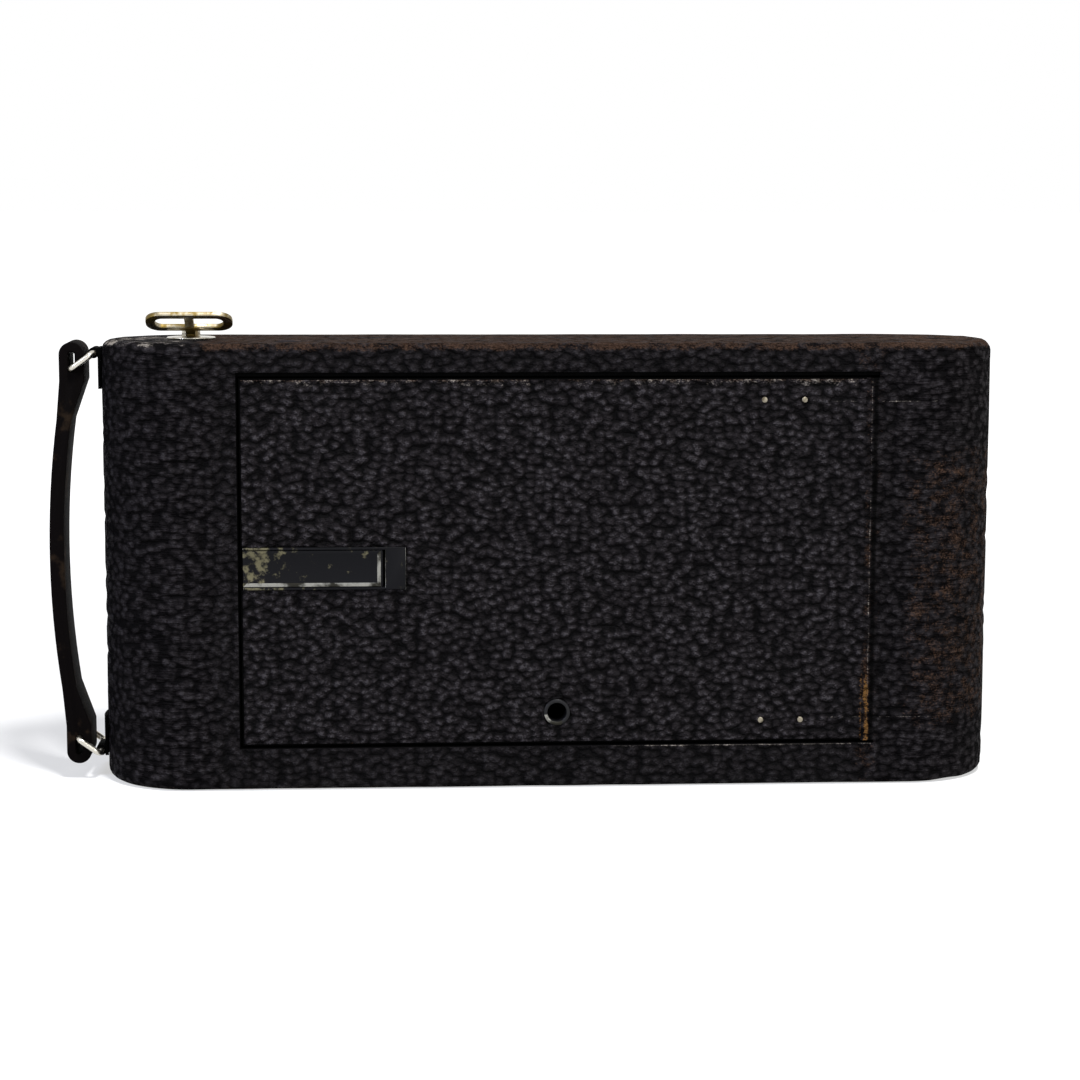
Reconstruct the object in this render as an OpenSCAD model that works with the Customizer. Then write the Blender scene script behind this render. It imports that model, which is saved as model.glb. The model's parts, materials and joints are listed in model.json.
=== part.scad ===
// Folding pocket camera for postcard-size roll film, standing on its long side with its bed closed.
// Frame: origin in the middle of the flat bottom, +X to the right, +Y to the back, +Z up.
// On the bed and door, sizes are given as a distance along the bed from its hinge and a depth into
// the camera from the hinge line. Across the bed they are given from the lens axis.

/* [Body] */
// Length over the leather, round ends included
body_l = 241; // [232:0.5:252]
// Height over the leather, standing on the long side
body_h = 119; // [117.5:0.5:126]
// Depth from front to back over the leather, which is also the diameter of the round ends
body_d = 48; // [48:0.5:54]
// Radius of the long top and bottom edges
edge_r = 3; // [2.8:0.1:5]
// Thickness of the metal shell and of the door panel
shell_t = 1.4; // [1.1:0.05:1.4]
// Thickness of the leather covering
hide_t = 0.8; // [0.5:0.05:1]
// Where the lift-off back meets the body, behind the middle
parting_y = 9; // [8.5:0.1:10]
// Gap at the seam between the body and its back
seam = 0.3; // [0.2:0.05:0.5]

/* [Door and bed] */
// Distance of the door's free end from the body's left end
door_end_in = 37.7; // [36.5:0.1:40]
// Distance of the door's hinge line from the body's right end
hinge_in = 36; // [35:0.1:36.5]
// Height of the door's lower edge above the base
door_low = 12.2; // [11.5:0.1:12.8]
// Distance of the door's upper edge below the top
door_top = 9.2; // [8.5:0.1:9.8]
// Gap round the door
door_gap = 0.6; // [0.4:0.05:1]
// Radius of the door's hinge pin
hinge_pin_r = 0.4; // [0.3:0.02:0.45]
// Distance of the bed's tripod bush from the hinge
socket_along = 83.8; // [60:0.5:100]
// Distance of the bed's tripod bush above the door's lower edge
socket_up = 8.4; // [7:0.1:12]
// Radius of the tripod screw's hole
tripod_r = 2.55; // [2.4:0.05:3.2]
// Depth of the tripod bushes
tripod_len = 5; // [4:0.25:6]
// Distance of the folding foot's middle below the lens axis
foot_below = 1.3; // [0:0.1:3]
// Length of the folding foot from its hinge
foot_l = 36.2; // [32:0.1:36.5]
// Width of the folding foot
foot_w = 10; // [8:0.25:12]
// Thickness of the folding foot
foot_t = 1.2; // [1:0.05:1.3]
// Height of the bed's two rails
rail_h = 1.6; // [1.2:0.05:1.65]
// Distance of the leg pivot beyond the lens axis, from the door's hinge
leg_beyond = 16.5; // [16.5:0.1:17.5]
// Length of the legs that hold the lens standard
leg_l = 42; // [40.5:0.1:44]
// Length of a strut between its pivot and its pin
strut_l = 37.1; // [36.5:0.05:37.5]

/* [Film path] */
// How far the picture's ends stand in from the bellows well
picture_in_x = 9.65; // [9:0.05:11]
// How far the picture's top and bottom stand in from the bellows well
picture_in_z = 4.9; // [4.2:0.05:6]
// How far the bellows well stands in from the door's edge
well_in = 2.6; // [2:0.05:2.6]
// Gap between the bellows well and the spools
well_gap = 3; // [2.6:0.1:4]
// Wall of the bellows well
well_t = 1.2; // [0.8:0.05:1.4]
// Front of the film gate, behind the middle
gate_y = 12; // [11.8:0.05:12.4]
// Thickness of the film gate
gate_t = 1.2; // [0.8:0.05:1.4]
// Radius of the film guide rollers
roller_r = 2.9; // [2.5:0.05:3]
// Radius of a spool's flanges
spool_flange_r = 14; // [12:0.1:14.5]
// Radius of a spool's core
spool_core_r = 4.5; // [4:0.1:6]
// How far a spool reaches past the well at each end
spool_over = 0.3; // [-1:0.1:0.6]

/* [Lens and bellows] */
// Front of the lens board behind the hinge line, with the bed closed
board_back = 24.7; // [24.6:0.05:25]
// Thickness of the lens board
board_t = 2; // [1.5:0.1:2.1]
// Half of the lens board's length
board_x = 32.5; // [32:0.1:33.5]
// Half of the lens board's height
board_z = 31; // [30.8:0.1:31.5]
// Radius of the shutter case
shutter_r = 25; // [23.5:0.1:25.5]
// Depth of the shutter case ahead of the board
shutter_t = 12.5; // [11.5:0.1:13]
// Radius of the front lens barrel
barrel_r = 10; // [9:0.1:10]
// Lens front ahead of the board
barrel_front = 22; // [21:0.1:22]
// Number of folds in the bellows
folds = 8; // [6:1:12]
// Side of the reflecting finder
finder_side = 13; // [11:0.25:13]

/* [Key and strap] */
// Radius of the winding key's shaft
key_r = 2.2; // [1.8:0.05:2.4]
// Width of the key's bow
bow_w = 23; // [20:0.25:25]
// Height of the key's bow from its pivot
bow_h = 12; // [11:0.25:13]
// How far the bow stands up from lying flat, in degrees
bow_lean = 29; // [24:1:34]
// Distance of the strap's ring bars from the body's top and bottom, on average
strap_in = 9.5; // [9:0.1:12]
// Height of the strap's middle above the middle of the body
strap_up = 1.9; // [-1:0.1:2.5]
// How far the strap bows out in its middle
strap_rise = 4.9; // [3:0.1:7]
// Thickness of the strap
strap_t = 3.8; // [3:0.1:4.5]
// Thickness of the strap's folded ends
strap_end_t = 6.6; // [6.4:0.1:7]
// Width of the strap
strap_w = 14; // [10:0.5:14.5]
// Radius of the ring wire
wire_r = 0.8; // [0.6:0.02:0.82]

/* [Hidden] */
$fn = 96;

// Clearances
run_fit = 0.05;
clear = 0.3;
slip = 0.1;
over = 1;

// Places that follow from the body
front_y = -body_d / 2;
hinge_y = front_y + hide_t;
end_x = body_l / 2 - body_d / 2;
wall = hide_t + shell_t;
door_inner = shell_t;
door_edge = 0.5;
knuckle_room = 1.6;
hinge_x = body_l / 2 - hinge_in;
door_l = body_l - hinge_in - door_end_in - door_edge;
door_h = body_h - door_low - door_top;
lens_z = door_low + door_h / 2;
well_x = end_x - spool_flange_r - well_gap;
well_z = door_h / 2 - well_in;
frame_l = 2 * (well_x - picture_in_x);
frame_h = 2 * (well_z - picture_in_z);
spool_l = 2 * (well_z + spool_over);
well_front = shell_t + 0.2;
well_y = hinge_y + well_front;
board_y = hinge_y + board_back;
film_y = gate_y + gate_t;

// Widths across the bed, from the lens axis
rail_in = 15;
rail_w = 3;
leg_in = 30;
leg_w = 6;
strut_mid = well_z - 1.2;
bracket_in = strut_mid - 4.6;
strut_t = 1.2;
strut_half_w = 2.2;
strut_end_r = 2.5;

// Strut pivot and the pin's place when the bed is open
strut_along = 28;
strut_depth = 5.5;
strut_pin_r = 1;
pin_open_along = 24;
pin_open_depth = 5.5;

// Leg pivot
leg_along = hinge_x + leg_beyond;
leg_depth = rail_h + shell_t + 2.2;
leg_tube_r = 1.2;
leg_pin_r = 0.6;
leg_t = 1.2;

// Strap rings
knuckle_x = -body_l / 2 - 1.7;
bar_x = knuckle_x - 5.6;
bar_drop = 4;
strap_mid_z = body_h / 2 + strap_up;
strap_span = body_h - 2 * strap_in;
slot_run = 3.6;

// The key and spools stand on the axes of the round ends
key_top = 0.5;
bow_pivot_z = body_h + 1.3;

// Place along the bed, and a depth into the camera, in the part's frame
function at_x(along) = hinge_x - along;
function at_y(depth) = hinge_y + depth;

// Block on the bed, from a distance along it, a depth into it and a width across from the lens axis
module bed_block(along, depth, across) {
    translate([at_x(along[1]), at_y(depth[0]), lens_z + across[0]])
        cube([along[1] - along[0], depth[1] - depth[0], across[1] - across[0]]);
}

// Child shapes on both sides of the lens axis
module both_sides() {
    for (side = [0, 1])
        translate([0, 0, lens_z]) mirror([0, 0, side]) translate([0, 0, -lens_z]) children();
}

// Rod along Y, from its front
module rod_y(x, y, z, r, l) {
    translate([x, y, z]) rotate([-90, 0, 0]) cylinder(r = r, h = l);
}

// Half of the body's cross-section, drawn in from the outside by an inset
module half_section(inset) {
    r = max(edge_r - inset, 0.4);
    w = body_d / 2 - inset;
    h = body_h - 2 * inset;
    translate([0, inset]) {
        square([w - r, h]);
        translate([0, r]) square([w, h - 2 * r]);
        for (z = [r, h - r]) translate([w - r, z]) circle(r);
    }
}

// Whole body form: a straight middle between two round ends
module body_form(inset) {
    for (side = [-1, 1])
        translate([side * end_x, 0, 0]) rotate([0, 0, -90 * side])
            rotate_extrude(angle = 180) half_section(inset);
    rotate([90, 0, 90]) translate([0, 0, -end_x]) linear_extrude(2 * end_x) {
        half_section(inset);
        mirror([1, 0]) half_section(inset);
    }
}

// Slab of the whole body's size between two places from front to back
module slab_y(from, to) {
    translate([-body_l, from, -over]) cube([2 * body_l, to - from, body_h + 2 * over]);
}

// Opening for the door, through the front wall
module door_opening() {
    from = at_x(door_l + door_edge) - door_gap;
    translate([from, front_y - over, lens_z - door_h / 2 - door_gap])
        cube([hinge_x + knuckle_room - from, wall + 2 * over, door_h + 2 * door_gap]);
}

// Holes in the top and bottom walls
button_x = 9.5 - well_x;
button_y = front_y + 12;
button_r = 3.5;
socket_y = -9;
module wall_holes() {
    translate([-end_x, 0, body_h - 2 * wall]) cylinder(r = key_r + 1, h = 3 * wall);
    translate([button_x, button_y, body_h - 2 * wall]) cylinder(r = button_r + slip, h = 3 * wall);
    translate([0, socket_y, -over]) cylinder(r = tripod_r + 2, h = wall + 2 * over);
}

// Metal shell of the front body, with a tongue that the back slips over
tongue = 4;
tongue_t = 0.8;
module body_shell() color("dimgray") {
    difference() {
        body_form(hide_t);
        body_form(wall);
        slab_y(parting_y, body_d);
        door_opening();
        wall_holes();
        hinge_leaf_blank(0);
    }
    difference() {
        union() {
            intersection() { body_form(wall); slab_y(parting_y - tongue, parting_y); }
            intersection() { body_form(wall + clear); slab_y(parting_y, parting_y + tongue); }
        }
        body_form(wall + tongue_t);
        wall_holes();
    }
}

module body_leather() color("black") difference() {
    body_form(0);
    body_form(hide_t);
    slab_y(parting_y, body_d);
    door_opening();
    wall_holes();
}

// Long leaf of the door hinge on the body side, let into the shell under the leather
leaf_h = door_h - 12.6;
leaf_x = hinge_x + knuckle_room - 0.4;
leaf_body_l = end_x - leaf_x - clear;
leaf_door_l = 14;
leaf_t = 0.5;
knuckle_r = 0.8;
knuckles = 9;
knuckle_l = leaf_h / knuckles;
module hinge_leaf_blank(grow) {
    translate([leaf_x, hinge_y, lens_z - leaf_h / 2 - grow])
        cube([leaf_body_l, leaf_t, leaf_h + 2 * grow]);
}
module hinge_knuckles(first) {
    l = knuckle_l - 2 * slip;
    for (i = [first : 2 : knuckles - 1])
        translate([hinge_x, hinge_y, lens_z - leaf_h / 2 + i * knuckle_l + slip]) difference() {
            union() {
                cylinder(r = knuckle_r, h = l);
                if (first == 0) cube([knuckle_room + 0.4, leaf_t, l]);
                else {
                    translate([-knuckle_r - clear - 0.4, shell_t - leaf_t, 0]) cube([knuckle_r + 0.4, leaf_t, l]);
                    translate([-knuckle_r, 0, 0]) cube([knuckle_r, shell_t - slip, l]);
                }
            }
            translate([0, 0, -over]) cylinder(r = hinge_pin_r + run_fit, h = knuckle_l + 2 * over);
        }
}
module body_hinge_leaf() color("silver") {
    hinge_leaf_blank(0);
    hinge_knuckles(0);
}
module hinge_pin() color("silver")
    translate([hinge_x, hinge_y, lens_z - leaf_h / 2]) cylinder(r = hinge_pin_r, h = leaf_h);

// Well that the bellows folds into, with its front flange, blocks to the shell and strut pivots
flange_x = door_gap - at_x(door_l + door_edge) + 1.1;
flange_z = door_h / 2 + door_gap + 1.1;
flange_t = 1.2;
block_w = 9;
block_x = well_x - 29.5;
block_y = front_y + edge_r;
pivot_head_t = 0.6;
pivot_head_r = 1.8;
module well_box(x, z, from, to) {
    translate([-x, from, lens_z - z]) cube([2 * x, to - from, 2 * z]);
}
module inner_frame() color("#26221f") {
    difference() {
        union() {
            well_box(well_x + well_t, well_z + well_t, well_y, gate_y);
            well_box(flange_x, flange_z, well_y, well_y + flange_t);
            for (side = [-1, 1]) translate([side * block_x - block_w / 2, block_y, 0]) {
                depth = parting_y - tongue - 1 - block_y;
                translate([0, 0, wall]) cube([block_w, depth, lens_z - well_z - wall]);
                translate([0, 0, lens_z + well_z])
                    cube([block_w, depth, body_h - wall - lens_z - well_z]);
            }
        }
        well_box(well_x, well_z, well_y - over, gate_y + over);
        for (side = [-1, 1]) translate([side * (roller_x + ear_out) - roller_cut / 2, roller_y - roller_r - clear, 0])
            cube([roller_cut, body_d, body_h]);
        translate([button_x, button_y, lens_z]) cylinder(r = stem_r + clear, h = body_h);
    }
    both_sides() strut_pivot();
}
module strut_pivot() {
    inside = lens_z + strut_mid - strut_t / 2 - slip;
    outside = lens_z + strut_mid + strut_t / 2 + slip;
    end = lens_z + well_z;
    translate([at_x(strut_along), at_y(strut_depth), 0]) {
        translate([0, 0, inside]) cylinder(r = strut_pin_r, h = end - inside);
        translate([0, 0, inside - pivot_head_t]) cylinder(r = pivot_head_r, h = pivot_head_t);
        translate([0, 0, outside]) cylinder(r = pivot_head_r + 0.2, h = end - outside);
    }
}

// Film gate with the ears that carry the two guide rollers
roller_x = well_x + 0.5;
ear_in = 4.5;
ear_out = 3;
roller_cut = 2 * (ear_in + ear_out + clear);
roller_y = film_y - roller_r + 1.3;
roller_half = well_z + 0.3;
roller_axle_r = 1;
ear_t = 0.9;
ear_front = 1.8;
module film_gate() color("#2b2b2b") {
    difference() {
        translate([-well_x + 3, gate_y, lens_z - well_z - well_t])
            cube([2 * well_x - 6, gate_t, 2 * (well_z + well_t)]);
        translate([-frame_l / 2, gate_y - over, lens_z - frame_h / 2])
            cube([frame_l, gate_t + 2 * over, frame_h]);
    }
    both_sides() for (side = [-1, 1]) difference() {
        mirror([side < 0 ? 1 : 0, 0, 0])
            translate([roller_x - ear_in, roller_y - ear_front, lens_z + roller_half + 0.2])
                cube([ear_in + ear_out, film_y - roller_y + ear_front, ear_t]);
        translate([side * roller_x, roller_y, lens_z]) cylinder(r = roller_axle_r + run_fit, h = body_h);
    }
}
module guide_roller(side) {
    translate([side * roller_x, roller_y, lens_z - roller_half])
        cylinder(r = roller_r, h = 2 * roller_half);
    translate([side * roller_x, roller_y, lens_z - roller_half - ear_t])
        cylinder(r = roller_axle_r, h = 2 * (roller_half + ear_t));
}
module guide_roller_left() color("silver") guide_roller(-1);
module guide_roller_right() color("silver") guide_roller(1);

// Spool with a wooden core, two flanges, a pin hole in one end and a key slot in the other
spool_hole_r = 2.6;
module takeup_spool() color("saddlebrown")
    translate([-end_x, 0, lens_z - spool_l / 2]) difference() {
        union() {
            cylinder(r = spool_core_r, h = spool_l);
            for (z = [0, spool_l - 1]) translate([0, 0, z]) cylinder(r = spool_flange_r, h = 1);
        }
        translate([0, 0, -over]) cylinder(r = spool_hole_r, h = 5 + over);
        translate([-4, -1, spool_l - 4]) cube([8, 2, 5]);
    }

// Pins that the spools turn on: both lower ones and the upper one of the full spool's side
pin_reach = 3;
pin_seat_r = parting_y - tongue - 0.4;
module spool_pins() color("silver") {
    z_low = lens_z - spool_l / 2;
    z_high = lens_z + spool_l / 2;
    for (side = [-1, 1]) translate([side * end_x, 0, wall]) {
        cylinder(r = pin_seat_r, h = 1.2);
        cylinder(r = 3.4, h = z_low - wall - 0.4);
        cylinder(r = 2.2, h = z_low - wall + pin_reach);
    }
    translate([end_x, 0, 0]) {
        translate([0, 0, body_h - wall - 1.2]) cylinder(r = pin_seat_r, h = 1.2);
        translate([0, 0, z_high + 0.4]) cylinder(r = 3.4, h = body_h - wall - z_high - 0.4);
        translate([0, 0, z_high - pin_reach]) cylinder(r = 2.2, h = body_h - wall - z_high + pin_reach);
    }
}

// Tripod bush in the bottom, threaded for the tripod screw
module body_socket() color("goldenrod")
    translate([0, socket_y, 0]) difference() {
        union() {
            cylinder(r = tripod_r + 2, h = tripod_len);
            translate([0, 0, wall]) cylinder(r = tripod_r + 4, h = 1.2);
        }
        translate([0, 0, -over]) cylinder(r = tripod_r, h = tripod_len + 2 * over);
    }

// Door release under the leather on top, with its return spring
button_t = 0.8;
stem_r = 2;
stem_z = lens_z + well_z + 0.4;
collar_r = 2.8;
collar_t = 0.8;
collar_z = body_h - wall - 3.2;
module release_button() color("#1a1a1a")
    translate([button_x, button_y, 0]) {
        translate([0, 0, body_h - button_t]) cylinder(r = button_r, h = button_t);
        translate([0, 0, stem_z]) cylinder(r = stem_r, h = body_h - stem_z - button_t / 2);
        translate([0, 0, collar_z]) cylinder(r = collar_r, h = collar_t);
    }
spring_t = 0.5;
spring_w = 5;
spring_l = 9;
spring_rise = 3.4;
module button_spring() color("silver")
    translate([button_x, button_y - spring_w / 2, lens_z + well_z + well_t]) {
        end = collar_r + 1.4 + spring_l;
        translate([end - spring_l, 0, 0]) cube([spring_l, spring_w, spring_t]);
        translate([end - spring_t, 0, 0]) cube([spring_t, spring_w, spring_rise]);
        translate([stem_r + clear, 0, spring_rise - spring_t]) cube([end - stem_r - clear, spring_w, spring_t]);
    }

// Lift-off back with its ruby window
window_x = 62;
window_r = 6;
module window_hole(r) rod_y(window_x, body_d / 2 - 3 * wall, lens_z, r, 6 * wall);
module back_cover() color("dimgray") difference() {
    body_form(hide_t);
    body_form(wall);
    slab_y(-body_d, parting_y + seam);
    window_hole(window_r + 1);
}
module back_leather() color("black") difference() {
    body_form(0);
    body_form(hide_t);
    slab_y(-body_d, parting_y + seam);
    window_hole(window_r + 1);
}
ruby_t = 0.8;
module window_ring() color("black") difference() {
    union() {
        rod_y(window_x, body_d / 2 - wall, lens_z, window_r + 1, wall);
        rod_y(window_x, body_d / 2 - wall - ruby_t, lens_z, window_r + 2.5, ruby_t);
    }
    window_hole(window_r - 0.8);
    rod_y(window_x, body_d / 2 - wall, lens_z, window_r, ruby_t);
}
module red_window() color("darkred") rod_y(window_x, body_d / 2 - wall, lens_z, window_r, ruby_t);

// Sliding catches of the back, on its round ends
catch_l = 16;
catch_angle = 28;
catch_span = 18;
catch_t = 1;
thumb_l = 6;
thumb_t = 0.8;
module back_catch(side) {
    translate([side * end_x, 0, lens_z - catch_l / 2]) mirror([side < 0 ? 1 : 0, 0, 0]) {
        rotate([0, 0, catch_angle]) rotate_extrude(angle = catch_span)
            translate([body_d / 2 + slip, 0]) square([catch_t, catch_l]);
        rotate([0, 0, catch_angle + catch_span / 3]) rotate_extrude(angle = catch_span / 3)
            translate([body_d / 2 + catch_t, (catch_l - thumb_l) / 2]) square([thumb_t, thumb_l]);
    }
}
module back_catch_left() color("silver") back_catch(-1);
module back_catch_right() color("silver") back_catch(1);

// Door panel and its leather
foot_end_along = door_l + door_edge - 0.6;
foot_axis_along = foot_end_along - foot_l;
foot_cut_along = foot_axis_along - 6;
foot_gap = 0.25;
foot_rim = 0.6;
rivet_along = [18.4, 29.1];
rivet_across = bracket_in + 2.6;
rivet_r = 0.75;
module rivet_holes(grow) {
    both_sides() for (along = rivet_along)
        rod_y(at_x(along), front_y - over, lens_z + rivet_across, rivet_r + grow, wall + 2 * over);
}
module foot_pocket(grow) {
    bed_block([foot_cut_along - grow, foot_end_along + grow], [-2 * hide_t, foot_t - hide_t + slip],
        [-foot_w / 2 - grow - foot_below, foot_w / 2 + grow - foot_below]);
}
module door_slab(depth) {
    bed_block([door_edge, door_l + door_edge], depth, [-door_h / 2, door_h / 2]);
}
module door_panel() color("dimgray") difference() {
    door_slab([0, door_inner]);
    bed_block([0, leaf_door_l], [door_inner - leaf_t, door_inner + over], [-leaf_h / 2, leaf_h / 2]);
    bed_block([-over, knuckle_r + clear], [-over, door_inner + over], [-leaf_h / 2, leaf_h / 2]);
    foot_pocket(foot_rim);
    rod_y(at_x(socket_along), front_y - over, door_low + socket_up, tripod_r + 1, 4 * wall);
    rivet_holes(run_fit);
}
module door_leather() color("black") difference() {
    door_slab([-hide_t, 0]);
    bed_block([-over, knuckle_r + clear], [-over, over], [-leaf_h / 2, leaf_h / 2]);
    foot_pocket(foot_rim);
    rod_y(at_x(socket_along), front_y - over, door_low + socket_up, tripod_r + 1, 4 * wall);
    rivet_holes(run_fit);
}
module door_hinge_leaf() color("silver") {
    bed_block([knuckle_r + clear, leaf_door_l], [door_inner - leaf_t, door_inner], [-leaf_h / 2, leaf_h / 2]);
    hinge_knuckles(1);
}

// Rivets of the strut brackets, seen on the leather
module door_rivets() color("goldenrod")
    both_sides() for (along = rivet_along) {
        rod_y(at_x(along), front_y - 0.1, lens_z + rivet_across, rivet_r, wall + bracket_t + 0.2);
        rod_y(at_x(along), at_y(door_inner + bracket_t), lens_z + rivet_across, 1.4, 0.5);
    }

// Brackets on the bed that catch the struts' pins in an open notch
bracket_t = 0.8;
bracket_along = 13.5;
bracket_l = 21;
bracket_h = 8;
bracket_w = 5.1;
notch_turn = 157;
module strut_brackets() color("silver")
    both_sides() difference() {
        union() {
            bed_block([bracket_along, bracket_along + bracket_l], [door_inner, door_inner + bracket_t],
                [bracket_in, bracket_in + bracket_w]);
            bed_block([bracket_along + 3.5, bracket_along + bracket_l], [door_inner, door_inner + bracket_h],
                [bracket_in, bracket_in + 1]);
        }
        rivet_holes(run_fit);
        translate([at_x(pin_open_along), at_y(pin_open_depth), lens_z + bracket_in - over]) {
            cylinder(r = strut_pin_r + clear, h = 3);
            rotate([0, 0, notch_turn]) translate([0, -strut_pin_r - clear, 0])
                cube([14, 2 * (strut_pin_r + clear), 3]);
        }
    }

// Struts that hold the bed open, each with a pin at its free end
module strut_blank() {
    translate([at_x(strut_along), at_y(strut_depth), lens_z + strut_mid - strut_t / 2]) {
        difference() {
            union() {
                cylinder(r = strut_end_r, h = strut_t);
                translate([-strut_l, -strut_half_w, 0]) cube([strut_l, 2 * strut_half_w, strut_t]);
                translate([-strut_l, 0, 0]) cylinder(r = strut_half_w, h = strut_t);
            }
            translate([0, 0, -over]) cylinder(r = strut_pin_r + run_fit, h = strut_t + 2 * over);
        }
        translate([-strut_l, 0, -strut_mid + strut_t / 2 + bracket_in - 0.3])
            cylinder(r = strut_pin_r, h = strut_mid - bracket_in + 0.3);
    }
}
module strut_upper() color("silver") strut_blank();
module strut_lower() color("silver")
    translate([0, 0, lens_z]) mirror([0, 0, 1]) translate([0, 0, -lens_z]) strut_blank();

// Two rails on the bed, and the bridge on them that carries the leg pivot
module bed_rails() color("silver")
    both_sides() bed_block([rail_from, door_l - rail_end_in], [door_inner, door_inner + rail_h],
        [rail_in, rail_in + rail_w]);
rail_from = 8;
rail_end_in = 38.8;
carriage_half = leg_in + leg_w + 2.2;
carriage_l = 9;
cheek = 1.4;
module leg_carriage() color("silver") {
    top = leg_depth - leg_tube_r - 0.25;
    bed_block([leg_along - carriage_l / 2, leg_along + carriage_l / 2], [door_inner + rail_h, top],
        [-carriage_half, carriage_half]);
    both_sides() {
        bed_block([leg_along - cheek, leg_along + cheek], [door_inner + rail_h, leg_depth],
            [carriage_half - cheek, carriage_half]);
        translate([at_x(leg_along), at_y(leg_depth), lens_z + carriage_half - cheek])
            cylinder(r = cheek, h = cheek);
    }
    translate([at_x(leg_along), at_y(leg_depth), lens_z - carriage_half])
        cylinder(r = leg_pin_r, h = 2 * carriage_half);
}

// Legs that swing up between the bed and the lens standard
leg_web = 8;
module leg_frame() color("silver")
    difference() {
        union() {
            translate([at_x(leg_along), at_y(leg_depth), lens_z - leg_in - leg_w])
                cylinder(r = leg_tube_r, h = 2 * (leg_in + leg_w));
            both_sides()
                bed_block([leg_along, leg_along + leg_l], [leg_depth - leg_t / 2, leg_depth + leg_t / 2],
                    [leg_in, leg_in + leg_w]);
            bed_block([leg_along, leg_along + leg_web], [leg_depth - leg_t / 2, leg_depth + leg_t / 2],
                [-leg_in, leg_in]);
        }
        translate([at_x(leg_along), at_y(leg_depth), lens_z - body_h])
            cylinder(r = leg_pin_r + run_fit, h = 2 * body_h);
    }

// Distance scale beside a rail, with plain marks
scale_from = 60;
scale_l = 34;
scale_w = 8;
scale_t = 0.5;
scale_in = 21;
mark_w = 0.5;
marks = 8;
module focus_scale() color("ivory") difference() {
    pitch = scale_l / (marks + 0.5);
    bed_block([scale_from, scale_from + scale_l], [door_inner, door_inner + scale_t],
        [-scale_in - scale_w, -scale_in]);
    for (i = [0 : marks - 1]) {
        along = scale_from + pitch / 2 + i * pitch;
        bed_block([along, along + mark_w], [door_inner + scale_t - 0.15, door_inner + over],
            [-scale_in - 3, -scale_in - 0.5]);
    }
}

// Tripod bush in the bed
module bed_socket() color("goldenrod")
    translate([at_x(socket_along), front_y, door_low + socket_up]) rotate([-90, 0, 0]) difference() {
        union() {
            cylinder(r = tripod_r + 0.95, h = tripod_len);
            translate([0, 0, wall]) cylinder(r = tripod_r + 3, h = 1);
        }
        translate([0, 0, -over]) cylinder(r = tripod_r, h = tripod_len + 2 * over);
    }

// Frame round the folding foot, with its hinge pin
foot_axis_depth = -0.15;
foot_pin_r = 0.35;
foot_knuckle_r = 0.6;
foot_heel = 1.2;
foot_pin_out = 0.5;
module foot_frame() color("silver") {
    difference() {
        bed_block([foot_cut_along - foot_rim, foot_end_along], [-hide_t, foot_t - hide_t],
            [-foot_w / 2 - foot_rim - foot_below, foot_w / 2 + foot_rim - foot_below]);
        bed_block([foot_axis_along - foot_heel, door_l + 2], [-2 * hide_t, foot_t],
            [-foot_w / 2 - foot_below, foot_w / 2 - foot_below]);
    }
    translate([at_x(foot_axis_along), at_y(foot_axis_depth), lens_z - foot_below - foot_w / 2 - foot_pin_out])
        cylinder(r = foot_pin_r, h = foot_w + 2 * foot_pin_out);
}

// Folding foot that lets the camera stand with its bed open
module bed_foot() color("silver")
    difference() {
        union() {
            bed_block([foot_axis_along, foot_axis_along + foot_l], [-hide_t, foot_t - hide_t - slip],
                [-foot_w / 2 + foot_gap - foot_below, foot_w / 2 - foot_gap - foot_below]);
            translate([at_x(foot_axis_along), at_y(foot_axis_depth), lens_z - foot_below - foot_w / 2 + foot_gap])
                cylinder(r = foot_knuckle_r, h = foot_w - 2 * foot_gap);
        }
        translate([at_x(foot_axis_along), at_y(foot_axis_depth), 0])
            cylinder(r = foot_pin_r + run_fit, h = body_h);
    }

// Hook on the bed that the door release holds
hook_half = 3;
hook_t = 1;
hook_h = 7;
hook_foot = 7.4;
module door_catch() color("silver") {
    along = [at_x(button_x) - hook_half, at_x(button_x) + hook_half];
    top = well_z - 0.8;
    bed_block(along, [door_inner, door_inner + hook_t], [top - hook_foot, top]);
    bed_block(along, [door_inner, door_inner + hook_h], [top - hook_t, top]);
}

// Lens standard: a U-shaped frame with two feet, and the board that it holds
standard_t = 3;
standard_w = 4;
base_w = 5.5;
arm_along = leg_along - 1;
pad_t = 4.3;
pad_l = 6.5;
module standard_frame() color("silver") {
    base_x = board_x + base_w;
    both_sides() {
        translate([at_x(arm_along), board_y - standard_t + 1, lens_z + board_z])
            cube([base_x - at_x(arm_along) + 0.5, standard_t, standard_w]);
        translate([base_x - pad_l + 3, board_y - pad_t + 1, lens_z + leg_in])
            cube([pad_l, pad_t, leg_w]);
    }
    translate([board_x, board_y - standard_t + 1, lens_z - board_z]) cube([base_w, standard_t, 2 * board_z]);
}
module lens_board() color("#201c1a") difference() {
    translate([-board_x, board_y, lens_z - board_z]) cube([2 * board_x, board_t, 2 * board_z]);
    rod_y(0, board_y - over, lens_z, rear_cell_r + slip, board_t + 2 * over);
    rod_y(finder_x, board_y - over, lens_z + finder_up, finder_pin_r + run_fit, board_t + 2 * over);
}

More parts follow.
